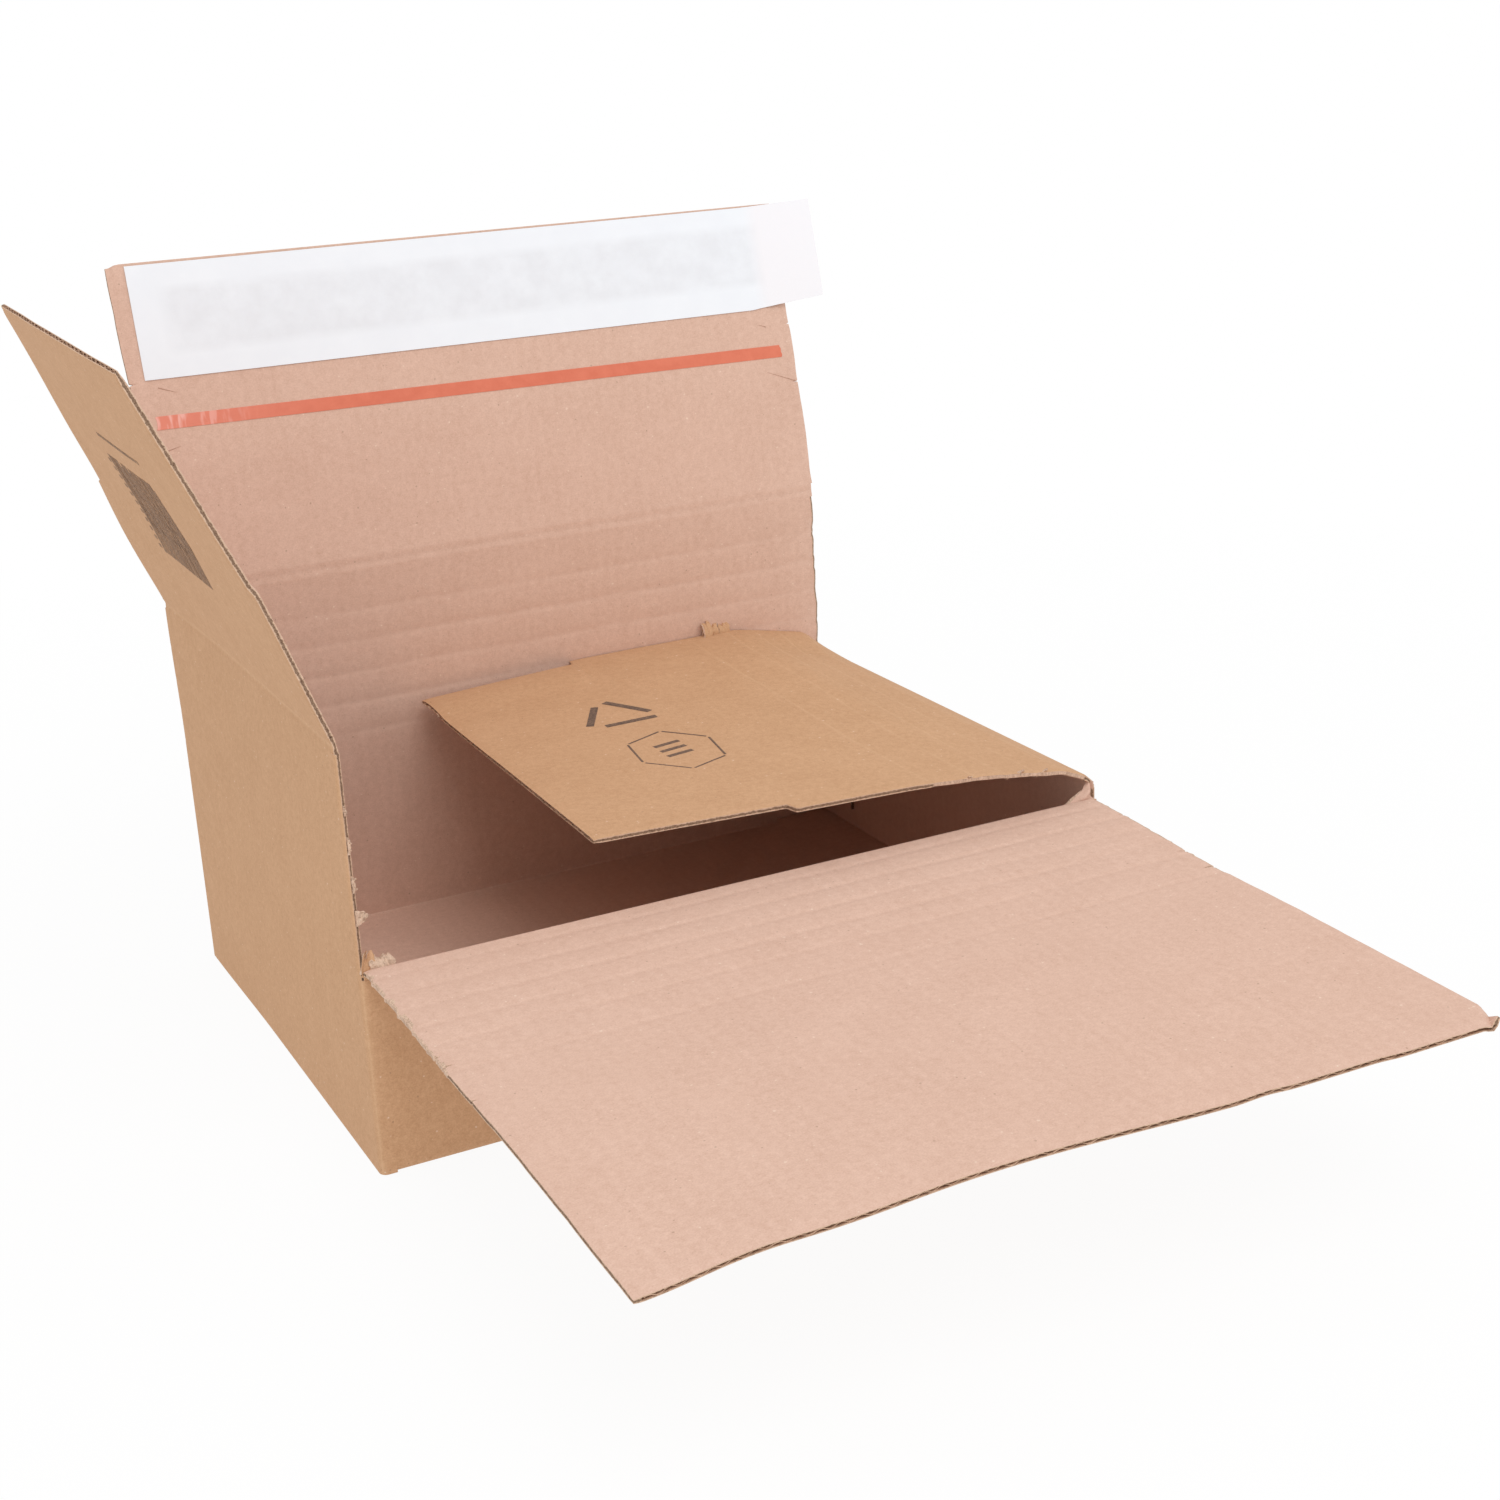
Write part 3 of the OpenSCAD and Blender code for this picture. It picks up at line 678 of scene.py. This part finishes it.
def joint_tab(build):
    """The back wall's tab, glued inside the right wall."""
    wide, bevel = 32.0, 8.0
    low, high = 2 * BOARD + 1, FRONT_FOLD - 3.5
    us = np.linspace(BOARD - SIDE_D, BOARD - SIDE_D + wide, 12)
    cut = np.linspace(0, bevel, 12)
    z = low + cut + np.linspace(0, 1, 30)[:, None] * (high - low - 2 * cut)
    u = np.broadcast_to(us, z.shape)
    nrm = direct("right", np.ones(u.shape), np.zeros(u.shape))
    board_shell(build, place("right", u, -BOARD, z), nrm, HALF, HALF, u, z)


# Flaps
def grid_normals(mid):
    nrm = np.cross(np.gradient(mid, axis=0), np.gradient(mid, axis=1))
    return nrm / np.maximum(np.linalg.norm(nrm, axis=-1, keepdims=True), 1e-9)


def side_edge(side, rows, half, seed, rough, creases, torn_to, wider, nicks, slits):
    """Half width of a flap at each row, on its side -1 or 1."""
    edge = half(rows) + rough * wobble(seed + 20 * side, rows, 9.0)
    if torn_to > 0:
        fuzz = 0.12 * wobble(seed + 21 * side, rows, 1.9) + 0.20 * wobble(seed + 22 * side, rows, 5.5)
        stubs = sum(0.5 * hump((rows - c) / 2.2) for c in creases)
        edge = edge + (fuzz + stubs) * (1 - ease(torn_to - 2, torn_to, rows)) * ease(SEAM, SEAM + 2, rows)
    if wider:
        edge = edge + wider(side, rows)
    for where, at in nicks:
        if where == side:
            edge = edge + 0.8 * hump((rows - at) / 0.8)
    for where, at, depth, width in slits:
        if where == side:
            edge = edge - depth * np.clip(1 - np.abs(rows - at) / (width / 2), 0, 1)
    return edge


def flap(name, body, node, length, half, end, creases, columns, seed, notes=(), extra=(), slits=(), scores=(),
         nicks=(), wider=None, torn_to=0.0, rough=0.1):
    """A flap as one board, with torn or cut side edges, crushed creases and open flutes at its free edge.
    Each slit is (side, distance along, depth, width), each score (place across, start) and each nick
    (side, distance along)."""
    panel, rim = PANELS[body], 4
    tail = length - np.array([9.0, 7.5, 6.0, 4.5, 2.7, 1.4, 0.7, 0.25, 0.0])
    rows = levels(SEAM, tail[0], [*creases, *notes, *(at for _, at in nicks)], 2.6, dense=torn_to)
    rows = [r for r in rows[:-1] if all(abs(r - at) > width / 2 + 0.15 for _, at, _, width in slits)]
    cuts = [at + k * width / 2 for _, at, _, width in slits for k in (-1, -0.5, 0, 0.5, 1)]
    rows = np.array(sorted(rows + cuts) + list(tail))
    left, right = (side_edge(side, rows, half, seed + 200, rough, creases, torn_to, wider, nicks, slits)
                   for side in (-1, 1))
    u = spread(columns, -left, right, extra)
    n = u.shape[1]
    along = np.repeat(rows[:, None], n, 1)
    side_gap = np.minimum(u + left[:, None], right[:, None] - u)
    s = along + end(u) * ease(length - 30, length, along)
    mid, nrm = panel.grid(u, s)
    if panel.bend:
        turned = grid_normals(mid)
        nrm = turned * np.sign((turned * nrm).sum(-1, keepdims=True))
    h_out, h_in, mark = thickness(u, s, creases, side_gap, length - along, seed=seed * 10, fray_to=torn_to)
    for at, start in scores:
        line = ease(start, start + 25, s) * hump((u - at - 0.3 * wobble(seed + 40, s, 30)) / 1.3)
        h_in = h_in - 0.10 * line
        mark = np.maximum(mark, 0.5 * line)
    gap = (side_gap[1:, 1:] + side_gap[:-1, :-1]) / 2
    reach = 0.8 + 0.6 * wobble(seed + 31, rows, 4.2) + 0.3 * wobble(seed + 32, rows, 1.8)
    torn_rim = rows[1:] < torn_to
    frayed = (gap < reach[1:, None]) & torn_rim[:, None]
    build = Build()
    board_shell(build, mid, nrm, h_out, h_in, u, s, mark, flutes=(rim, rim, n - 1 - rim), frayed=frayed,
                torn_rim=torn_rim)
    clear = 12 if panel.bend else 0.5
    medium(build, panel, length - 0.1, u[-1, rim] + clear, u[-1, n - 1 - rim] - 0.5, seed, end)
    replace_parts(build.done(name, BOARD_MATS, body), node)


def front_lean(u, s):
    return 91.6 + 0 * np.asarray(s, float)


def right_lean(u, s):
    """Rounded at the fold, nearly flat further on, and drooping towards its back corner."""
    back = ease(100, -112, u)
    root = -67.0 + 19.0 * ease(-75, -112, u)
    near, middle, far, free = -82.0 + 3.5 * back, -85.0 - 5.0 * back, -88.0 - 2.0 * back, -88.0 - 5.0 * back
    lean = root + (near - root) * ease(11.5, 16, s) + (middle - near) * ease(44, 54, s)
    return lean + (far - middle) * ease(74, 90, s) + (free - far) * ease(110, 150, s)


def left_lean(u, s):
    return 20.0 + 4.0 * ease(STEP_AT - 6, STEP_AT + 4, s)


def left_lift(u, s):
    """The back part of the left wall's top and its flap stand further out."""
    out = 1.9 * (1 - ease(50, 120, s)) + 1.2 * hump((s - 35) / 38) - 1.8 * ease(82, 148, s)
    return out * wall_out(u) + unevenness(521, 0.15)(u, s)


def wall_out(u):
    return ease(20, 112, u)


def back_lean(u, s):
    return 12.0 + 3.0 * ease(48, 62, s)


def unevenness(seed, size):
    """Slow waviness of a board, none at its hinge."""
    def lift(u, s):
        slow = wobble(seed, u, 55) + wobble(seed + 1, s, 45) + 0.6 * wobble(seed + 2, u + s, 38)
        return size * ease(6, 40, s) * slow
    return lift


def front_lift(u, s):
    """Crown and sag of the front flap. Positive is down and outwards."""
    crown = -1.4 * hump(u / 155) * ease(70, FRONT_L, s) - 2.2 * hump((u - 45) / 95) * ease(110, FRONT_L, s)
    crown = crown - 1.2 * hump((u - 114) / 44) * ease(140, FRONT_L, s)
    sag = 1.0 * hump((s - 78) / 58) - 0.6 * ease(120, FRONT_L, s) * ease(60, 150, -u)
    droop = 1.8 * ease(105, 150, u) * ease(140, FRONT_L, s)
    return (crown + sag + droop) * ease(4, 40, s) + unevenness(501, 0.12)(u, s)


def front_bend(u, s):
    """The far right tip is folded up along a slanting line, with a small dip before the fold."""
    on_side, on_end = 7.8, 5.6
    across, along = np.array([on_side, on_end]) / math.hypot(on_side, on_end)
    depth, radius, angle = on_end * across, 0.9, math.radians(52)
    d = depth - (u + LONG_HALF) * across - (FRONT_L - s) * along
    turn = np.clip(d / radius, 0, angle)
    past = np.clip(d - radius * angle, 0, None)
    run = radius * np.sin(turn) + past * math.cos(angle) - np.clip(d, 0, None)
    rise = radius * (1 - np.cos(turn)) + past * math.sin(angle)
    near = ease(13, 0, u + LONG_HALF)
    return u - run * across, s + run * along, 1.7 * near * hump((d + 0.3) / 3.2) - rise


def right_lift(u, s):
    """Takes the raised back of the fold out again, so that the free edge is straight."""
    level = -3.9 * (106 - u) / 212 + 7.8 * ease(100, -112, u) - 3.9 * ease(-75, -112, u)
    return level * ease(14, 60, s) + unevenness(511, 0.12)(u, s)


def right_end(u):
    """The free edge of the right flap runs askew."""
    return -2.2 - 8.9 * (106 - u) / 212 + 2.5 * ease(-75, -112, u)


def left_end(u):
    """The free edge of the left flap is a little short at its back corner."""
    return -2.2 * ease(0, 106, u) - 0.5 * ease(50, 112, u)


def back_end(u):
    """The free edge of the back flap runs a little askew, and its left corner is crushed."""
    return -1.1 - 1.1 * u / 150 - 1.3 * ease(2.0 - LONG_HALF, -2.5 - LONG_HALF, u)


PANELS = {
    "front": Panel("front", FRONT_FOLD, front_lean, front_lift, front_bend),
    "right": Panel("right", LOW_Z, right_lean, right_lift),
    "left": Panel("left", END_TOP, left_lean, left_lift),
    "back": Panel("back", LONG_TOP, back_lean, unevenness(531, 0.15)),
}


def even(half):
    return lambda s: np.full(np.shape(s), half)


def stepped(at):
    """Half width of an end flap: wide up to its step, then narrower."""
    return lambda s: SIDE_D - BOARD - 0.3 - 6.0 * ease(at - 0.8, at + 0.8, s)


def front_edge_run(u):
    """Slight steps in the front flap's free edge, where it was crushed."""
    run = 0.7 * ease(-58, -68, u) - 0.9 * ease(-44, -58, u) + 0.9 * ease(-98, -110, u)
    return run - 0.6 - 1.4 * hump((u - 25) / 90) - 0.8 * hump((u - 120) / 32)


def front_wider(side, rows):
    """The right edge of the front flap is worn in a little at its bent tip."""
    return -1.6 * ease(FRONT_L - 9, FRONT_L, rows) if side < 0 else 0 * rows


def back_wider(side, rows):
    """The left edge of the back flap stands out towards its free end."""
    return 1.8 * ease(25, 60, rows) + 1.2 * ease(85, 130, rows) if side < 0 else 0.7 + 0 * rows


def build_flaps():
    score = -16.8
    flap("front_board", "front", "front_flap", FRONT_L, even(LONG_HALF), front_edge_run,
         [FRONT_DROP + r for r in RISES] + [TEAR_END], 160, 5, wider=front_wider, notes=[FRONT_L - 13],
         extra=[score, -147, -144, -141], scores=[(score, 70)], torn_to=TEAR_END,
         slits=[(-1, 21.5, 2.2, 1.1), (-1, 61.6, 2.8, 1.2), (-1, 78.5, 4.5, 1.6), (1, 72.0, 1.4, 1.6),
                (1, 80.0, 2.6, 1.0), (1, 105.6, 1.4, 1.2)])
    step = TOP_RISE + STEP_AT
    flap("right_board", "right", "right_flap", RIGHT_L, stepped(step), right_end, RISES[1:] + [TOP_RISE],
         110, 7, notes=[step], torn_to=TOP_RISE)
    flap("left_board", "left", "left_flap", END_L, stepped(STEP_AT), left_end, [], 110, 9, notes=[STEP_AT],
         nicks=[(-1, 12.0), (-1, 26.0), (-1, 41.0)])
    flap("back_board", "back", "back_flap", BACK_L, even(LONG_HALF), back_end, [], 150, 11, wider=back_wider,
         rough=0.4, slits=[(1, 50.7, 1.6, 0.9), (1, 77.5, 1.0, 0.8), (-1, 86.0, 1.4, 0.9)])


def fold_skin(key, half, columns, slot):
    """The crushed board at a fold, which bends between the wall and its flap."""
    panel = PANELS[key]
    u, s = np.meshgrid(spread(columns, [-half], [half])[0], np.linspace(-SEAM, SEAM, 17))
    mid, nrm = panel.grid(u, s)
    h_out, h_in, mark = thickness(u, s, [], half - np.abs(u))
    build = Build()
    board_shell(build, mid, nrm, h_out, h_in, u, s, mark)
    obj = build.done(key + "_fold_skin", BOARD_MATS, slot=slot)
    root = math.radians(float(panel.lean(0.0, 0.0)))
    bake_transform(obj)


def strip(name, node, mat, span, rows, thick=0.22, slant=0.0, ends=0.0, lift=None, climb=None):
    """A thin strip on the inner face of the back flap. span is its reach across, and rows its reach along."""
    u0, u1 = span
    us = [np.linspace(u0, u0 + 6, 13), np.linspace(u0 + 8, u1 - 38, 80), np.linspace(u1 - 36, u1, 40)]
    u, s = np.meshgrid(np.concatenate(us), np.linspace(*rows, 14))
    s = s - u * math.tan(math.radians(slant)) + (climb(u, s) if climb else 0)
    u = u + ends * wobble(3, s, 1.3) * (ease(u0 + 5, u0, u) - ease(u1 - 5, u1, u))
    mid, nrm = PANELS["back"].grid(u, s)
    rise = lift(u, s) if lift else np.zeros(u.shape)
    mid = mid - nrm * (HALF + thick / 2 + rise)[..., None]
    build = Build()
    board_shell(build, mid, nrm, thick / 2, thick / 2, u, s)
    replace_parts(build.done(name, [mat], "back"), node)


def tab_lift(u, s):
    """The liner's right end stands off the board."""
    bent = np.clip(u - TAB_AT, 0, None)
    return 0.25 + math.tan(math.radians(8.5)) * bent * ease(0, 5, bent)


def tab_climb(u, s):
    """The liner's right end also rises, most at its lower edge."""
    slope = 0.085 - 0.070 * (s - LINER_TOP + LINER_WIDE) / LINER_WIDE
    return slope * np.clip(u - TAB_AT + 6.0, 0, None) * ease(TAB_AT - 6, TAB_AT, u)


def build_seal():
    """Tear tape, adhesive, release liner, and painted shadow lines for the short slits and creases beside them.
    """
    half = LONG_HALF
    strip("tear_film_strip", "tear_tape", TAPE_MAT, (6 - half, half - 6.2), TAPE_S, 0.2, slant=0.76, ends=0.6)
    strip("adhesive_layer", "adhesive_band", GLUE_MAT, (13 - half, half - 13), (GLUE_S - 13, GLUE_S + 13))
    strip("release_strip", "release_liner", LINER_MAT, (4.5 - half, half + 18.0),
          (LINER_TOP - LINER_WIDE, LINER_TOP), slant=0.35, lift=tab_lift, climb=tab_climb)
    # Each slit is a thin dark sliver on the inner face, painted shadow for the shade inside the slit.
    slits = Build()
    for p, q, wide in (((150.4, 50.7), (136.0, 56.4), 0.4), ((139.0, 77.0), (135.5, 78.4), 0.4),
                       ((-141.5, 83.6), (-134.5, 80.9), 0.4), ((-143.5, 57.2), (-136.5, 58.8), 0.5)):
        ink_quad(slits, PANELS["back"], bar(p, q, wide, 0.15), (8, 1), -1)
    slits.done("slit_shadow_back", [SLIT_SHADOW], "back", "kraft_inside")


# Torn scraps
def scrap(build, root, along, across, length, width, curl, seed, thick, slot, taper, rough=1.0):
    """A ragged flake of torn board that curls away from its root. root, along and across are vectors."""
    along, across = (np.asarray(v, float) / np.linalg.norm(v) for v in (along, across))
    a, b = np.meshgrid(np.linspace(0, 1, 10), np.linspace(-1, 1, 11), indexing="ij")
    rag = 1 + rough * (0.28 * wobble(seed, b * 5, 1.0) + 0.12 * wobble(seed + 1, b * 13, 1.0))
    run = a * length * rag
    turn = curl * a
    forward = run * np.sinc(turn / math.pi)
    rise = run * (1 - np.cos(turn)) / np.where(np.abs(turn) < 1e-3, 1e9, turn)
    wide = width / 2 * b * (1 - taper * a) * (1 + 0.18 * wobble(seed + 2, a * 6, 1.0))
    crumple = wobble(seed + 3, a * 3 + b * 2.3, 1.0) + wobble(seed + 4, a * 2 - b * 3.1, 1.0)
    rise = rise + 0.09 * rough * width * crumple * ease(0, 0.4, a)
    mid = (np.asarray(root, float) + forward[..., None] * along + wide[..., None] * across
           + rise[..., None] * np.cross(along, across))
    h = thick / 2 * (1 - 0.6 * a)
    board_shell(build, mid, grid_normals(mid), h, h, np.full(a.shape, 0.5), 1 + a, flip=True,
                kinds=(slot, slot, TORN))


def corner_web(build):
    """Crumpled piece of torn board that stands at the right end of the front fold, up to the right flap."""
    v, t = np.meshgrid(np.linspace(0, 1, 14), np.linspace(0, 1, 16), indexing="ij")
    x0 = SIDE_W - 2.2 - 13.8 * (1 - v) ** 2.1 + 0.4 * wobble(751, v * 9, 1.0)
    x1 = SIDE_W - 0.7 - 0.6 * v
    z = FRONT_FOLD - 0.6 + v * (LOW_Z + 0.8 - FRONT_FOLD) + 0.5 * wobble(752, t * 6, 1.0) * v
    folds = 1.1 * np.sin(8.0 * (t + 0.5 * v) + 1.2 * wobble(753, v * 4, 1.0)) * (1.0 - 0.5 * v)
    y = -SIDE_D + 1.4 + 2.6 * v * (1 - t) + folds * ease(0, 0.2, v)
    mid = np.stack([x0 + (x1 - x0) * t, y, z], -1)
    h = 0.55 - 0.25 * v
    board_shell(build, mid, grid_normals(mid), h, h, np.full(v.shape, 0.5), 1 + v, flip=True,
                kinds=(INNER, INNER, TORN))


def build_scraps():
    """Torn bits left at the corners: ties of the perforation and crumpled facing. Each row has a scrap's place,
    its two directions, length, width, curl, seed, thickness and material, and in the first list its taper."""
    fixed = Build()
    corner = np.array([-SIDE_W + 1.0, -SIDE_D + 0.8, FRONT_FOLD - 1.5])
    for at, *form in (
            ((2.4, 0.3, 0), (0.2, -0.1, 1.0), (1, 0, 0.1), 8.0, 4.6, 1.0, 701, 1.1, OUTER, 0.2, 0.5),
            ((7.6, 0.2, -0.2), (0.05, -0.45, 1.0), (1, 0, -0.14), 8.0, 12.0, 2.3, 705, 1.0, TORN, 0.35, 0.6),
            ((8.5, 2.4, -0.4), (0.25, 0.2, 1.0), (1, 0.1, -0.25), 5.5, 10.0, 0.9, 706, 0.8, TORN, 0.5, 0.8),
            ((0.8, 0.6, 1.0), (0.1, 0.1, 1.0), (0.8, 0.6, 0), 6.0, 2.6, -0.3, 704, 0.9, OUTER, 0.2)):
        scrap(fixed, corner + at, *form)
    for z, length, width, seed in ((125.0, 1.3, 6.0, 711), (111.0, 1.3, 6.0, 712), (98.5, 4.0, 5.4, 713),
                                   (137.5, 0.9, 3.6, 714)):
        scrap(fixed, (-SIDE_W + 1.2, -SIDE_D + 0.9, z), (0.85, 0.25, 0.1), (0.0, 0.12, 1.0), length, width,
              0.9, seed, 0.9, TORN, 0.3)
    corner_web(fixed)
    fixed.done("torn_scraps_carton", BOARD_MATS, "carton", "kraft_inside")
    loose = Build()
    for u, s, *form in (
            (-110.6, 55.4, (0.1, -0.5, 1.0), (1, 0.0, 0.03), 6.2, 6.5, 2.2, 731, 1.4, OUTER),
            (-110.4, 62.4, (-0.1, -0.6, 1.0), (1, -0.15, -0.1), 8.5, 8.5, 2.6, 735, 1.3, OUTER),
            (-110.9, 59.5, (0.1, 0.2, 1.0), (1, 0.2, 0.1), 7.0, 6.0, 0.6, 737, 0.9, INNER),
            (-107.4, 65.0, (0.3, 0.0, 1.0), (1, 0.3, 0), 8.0, 5.5, 1.3, 739, 1.2, OUTER),
            (110.6, 57.9, (-0.1, -1.0, 0.15), (1, 0, 0), 2.0, 5.0, 0.8, 741, 0.6, TORN),
            (110.6, 36.0, (0.0, -1.0, 0.1), (1, 0, 0.2), 1.4, 9.0, 0.5, 742, 0.6, TORN),
            (110.6, 24.0, (0.1, -1.0, 0.0), (1, 0, 0.3), 1.3, 7.0, 0.4, 743, 0.6, TORN)):
        mid, nrm = PANELS["right"].grid([[u]], [[s]])
        scrap(loose, mid[0, 0] + nrm[0, 0] * 0.3, *form, 0.3, 0.6)
    loose.done("torn_scraps_right", BOARD_MATS, "right", "kraft_outside")


# Printing
def bar(p, q, wide, taper=1.0):
    """Corners of a straight bar between two points, taper times as wide at the second."""
    p, q = np.asarray(p, float), np.asarray(q, float)
    side = np.array([-(q - p)[1], (q - p)[0]]) / np.linalg.norm(q - p) * wide / 2
    return [p - side, q - taper * side, q + taper * side, p + side]


def ink_quad(build, panel, corners, steps, side=1):
    """A thin patch from four (u, s) corners in order, on the outer face, or on the inner one for side -1."""
    thick, clear = 0.08, 0.07
    c = np.asarray(corners, float)
    a, b = (v[..., None] for v in np.meshgrid(*(np.linspace(0, 1, n + 1) for n in steps), indexing="ij"))
    flat = (1 - a) * (1 - b) * c[0] + a * (1 - b) * c[1] + a * b * c[2] + (1 - a) * b * c[3]
    mid, nrm = np.zeros(flat.shape[:2] + (3,)), np.zeros(flat.shape[:2] + (3,))
    for i, j in np.ndindex(flat.shape[:2]):
        m, n = panel.grid([[flat[i, j, 0]]], [[flat[i, j, 1]]])
        mid[i, j], nrm[i, j] = m[0, 0], n[0, 0]
    (x1, y1), (x2, y2) = c[1] - c[0], c[3] - c[0]
    mid = mid + nrm * (HALF + clear) * side
    board_shell(build, mid, nrm, thick / 2, thick / 2, *np.moveaxis(flat, -1, 0), flip=x1 * y2 > y1 * x2)


def build_ink():
    """Plain bars, strokes and outlines in place of the print."""
    rng = np.random.default_rng(17)
    left, panel = Build(), PANELS["left"]
    u = -31.0
    while u < 37.0:
        wide = rng.choice([0.7, 1.0, 1.5, 2.1])
        end = 84.5 - rng.choice([0, 0, 0, 2.5])
        ink_quad(left, panel, bar((u + wide / 2, 41.0), (u + wide / 2, end), wide), (4, 1))
        u += wide + rng.choice([0.7, 1.0, 1.4])
    for k in range(11):
        s = 43.0 + 3.8 * k
        ink_quad(left, panel, bar((40.5, s), (43.5, s), 1.6), (1, 1))
    for k in range(17):
        u = -34.5 + 4.0 * k
        ink_quad(left, panel, bar((u, 94.2), (u + 2.2 + 1.4 * rng.random(), 94.3), 1.5), (1, 1))
    left.done("printed_bars_left", [FAINT], "left", "kraft_outside")
    right, panel = Build(), PANELS["right"]
    for centre, radii, n, turn, first, last, wide in (
            ((-27.0, 144.4), (22.0, 20.0), 3, math.pi, 0.12, 0.78, 3.2),
            ((26.5, 142.0), (24.5, 19.0), 6, 0.2, 0.04, 0.96, 0.9)):
        angle = turn + 2 * math.pi * np.arange(n + 1) / n
        ring = np.array(centre) + np.stack([np.cos(angle), np.sin(angle)], 1) * radii
        for p, q in zip(ring, ring[1:]):
            ink_quad(right, panel, bar(p + first * (q - p), p + last * (q - p), wide), (6, 1))
    for k in range(3):
        u = 17.0 + 6.5 * k
        ink_quad(right, panel, bar((u, 136.5), (u + 2.5, 148.5), 2.4), (6, 1))
    right.done("printed_marks_right", [INK], "right", "kraft_outside")


body = build_body().done("body_board", BOARD_MATS, "carton")
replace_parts(body, "carton_body")
build_flaps()
fold_skin("front", 150.9, 120, "kraft_inside")
fold_skin("right", SIDE_D - END_GAP, 90, "kraft_outside")
fold_skin("left", SIDE_D - END_GAP, 90, "kraft_outside")
fold_skin("back", LONG_HALF, 110, "kraft_inside")
build_seal()
build_scraps()
build_ink()

# Stage, light and camera. The camera's place is in millimetres, and the lamps' places are in metres
PHOTO_PX, FOCAL_PX, SENSOR = 1500, 2313.9, 36.0
CAMERA_AT, CAMERA_TURN = (-347.2, -827.9, 402.2), (1.85086, -0.47746, 0.2727)
TARGET = (0, 0, 0.1)
KEY_AT, KEY_SIZE, KEY_POWER = (-0.1, -1.3, 1.8), 1.2, 13.5
FILL_AT, FILL_SIZE, FILL_POWER = (-1.6, -0.9, 0.9), 1.6, 0.6
FLOOR_HALF = 6.0


def seen_ray(k):
    """1 for a ray that is seen straight or in gloss or glass, and 0 for one that lights the object."""
    path = k.new("ShaderNodeLightPath").outputs
    seen = k.plus(path["Is Camera Ray"], path["Is Glossy Ray"], clamp=True)
    return k.plus(seen, path["Is Transmission Ray"], clamp=True)


def build_stage():
    """White floor that keeps a soft contact shadow and fades into the white background."""
    floor_mat, k = node_material("pale_floor")
    flat = k.scaled(k.position(), 1.0, 1.0, 0.0)
    far = k.new("ShaderNodeVectorMath", {0: flat}, operation="LENGTH").outputs["Value"]
    seen = seen_ray(k)
    share = k.times(k.remap(far, 0.3, 0.9, 0.93, 1.0), seen)
    share = k.plus(share, k.times(k.math("SUBTRACT", 1.0, seen), 0.68))
    diffuse = k.new("ShaderNodeBsdfPrincipled", {"Base Color": (0.9, 0.9, 0.9, 1), "Roughness": 0.9,
                                                 "Specular IOR Level": 0.1})
    glow = k.new("ShaderNodeEmission", {"Color": (1, 1, 1, 1), "Strength": 1.0})
    both = k.new("ShaderNodeMixShader", {0: share, 1: diffuse.outputs[0], 2: glow.outputs[0]})
    k.new("ShaderNodeOutputMaterial", {"Surface": both.outputs[0]})
    mesh = bpy.data.meshes.new("floor")
    r = FLOOR_HALF
    mesh.from_pydata([(-r, -r, 0), (r, -r, 0), (r, r, 0), (-r, r, 0)], [], [(0, 1, 2, 3)])
    mesh.materials.append(floor_mat)
    add_object("floor", mesh)


def area_light(name, location, size, power):
    data = bpy.data.lights.new(name, "AREA")
    data.shape = "SQUARE"
    data.size = size
    data.energy = power
    obj = add_object(name, data)
    obj.location = location
    obj.rotation_mode = "QUATERNION"
    obj.rotation_quaternion = (Vector(TARGET) - Vector(location)).to_track_quat("-Z", "Y")


def build_light():
    """White surroundings, a little dimmer as light than as background, and two large lamps."""
    world = bpy.data.worlds.new("studio")
    bpy.context.scene.world = world
    world.use_nodes = True
    k = Nodes(world.node_tree)
    strength = k.remap(seen_ray(k), 0.0, 1.0, 0.85, 1.0)
    background = k.new("ShaderNodeBackground", {"Color": (1, 1, 1, 1), "Strength": strength})
    k.new("ShaderNodeOutputWorld", {"Surface": background.outputs[0]})
    area_light("key", KEY_AT, KEY_SIZE, KEY_POWER)
    area_light("fill", FILL_AT, FILL_SIZE, FILL_POWER)


def build_camera():
    """The photo's camera. CAMERA_TURN is the rotation vector from the world to right, down and ahead."""
    data = bpy.data.cameras.new("photo_camera")
    data.sensor_fit = "HORIZONTAL"
    data.sensor_width = SENSOR
    data.lens = FOCAL_PX / PHOTO_PX * SENSOR
    data.clip_start, data.clip_end = 0.01, 50
    angle = np.linalg.norm(CAMERA_TURN)
    x, y, z = np.array(CAMERA_TURN) / angle
    cross = np.array([[0, -z, y], [z, 0, -x], [-y, x, 0]])
    rows = np.eye(3) + math.sin(angle) * cross + (1 - math.cos(angle)) * cross @ cross
    matrix = np.eye(4)
    matrix[:3, :3] = np.stack([rows[0], -rows[1], -rows[2]], 1)
    matrix[:3, 3] = np.array(CAMERA_AT) * MM
    obj = add_object("photo_camera", data)
    obj.matrix_world = Matrix(matrix.tolist())
    bpy.context.scene.camera = obj


build_stage()
build_light()
build_camera()
bpy.context.scene.view_settings.view_transform = "Standard"
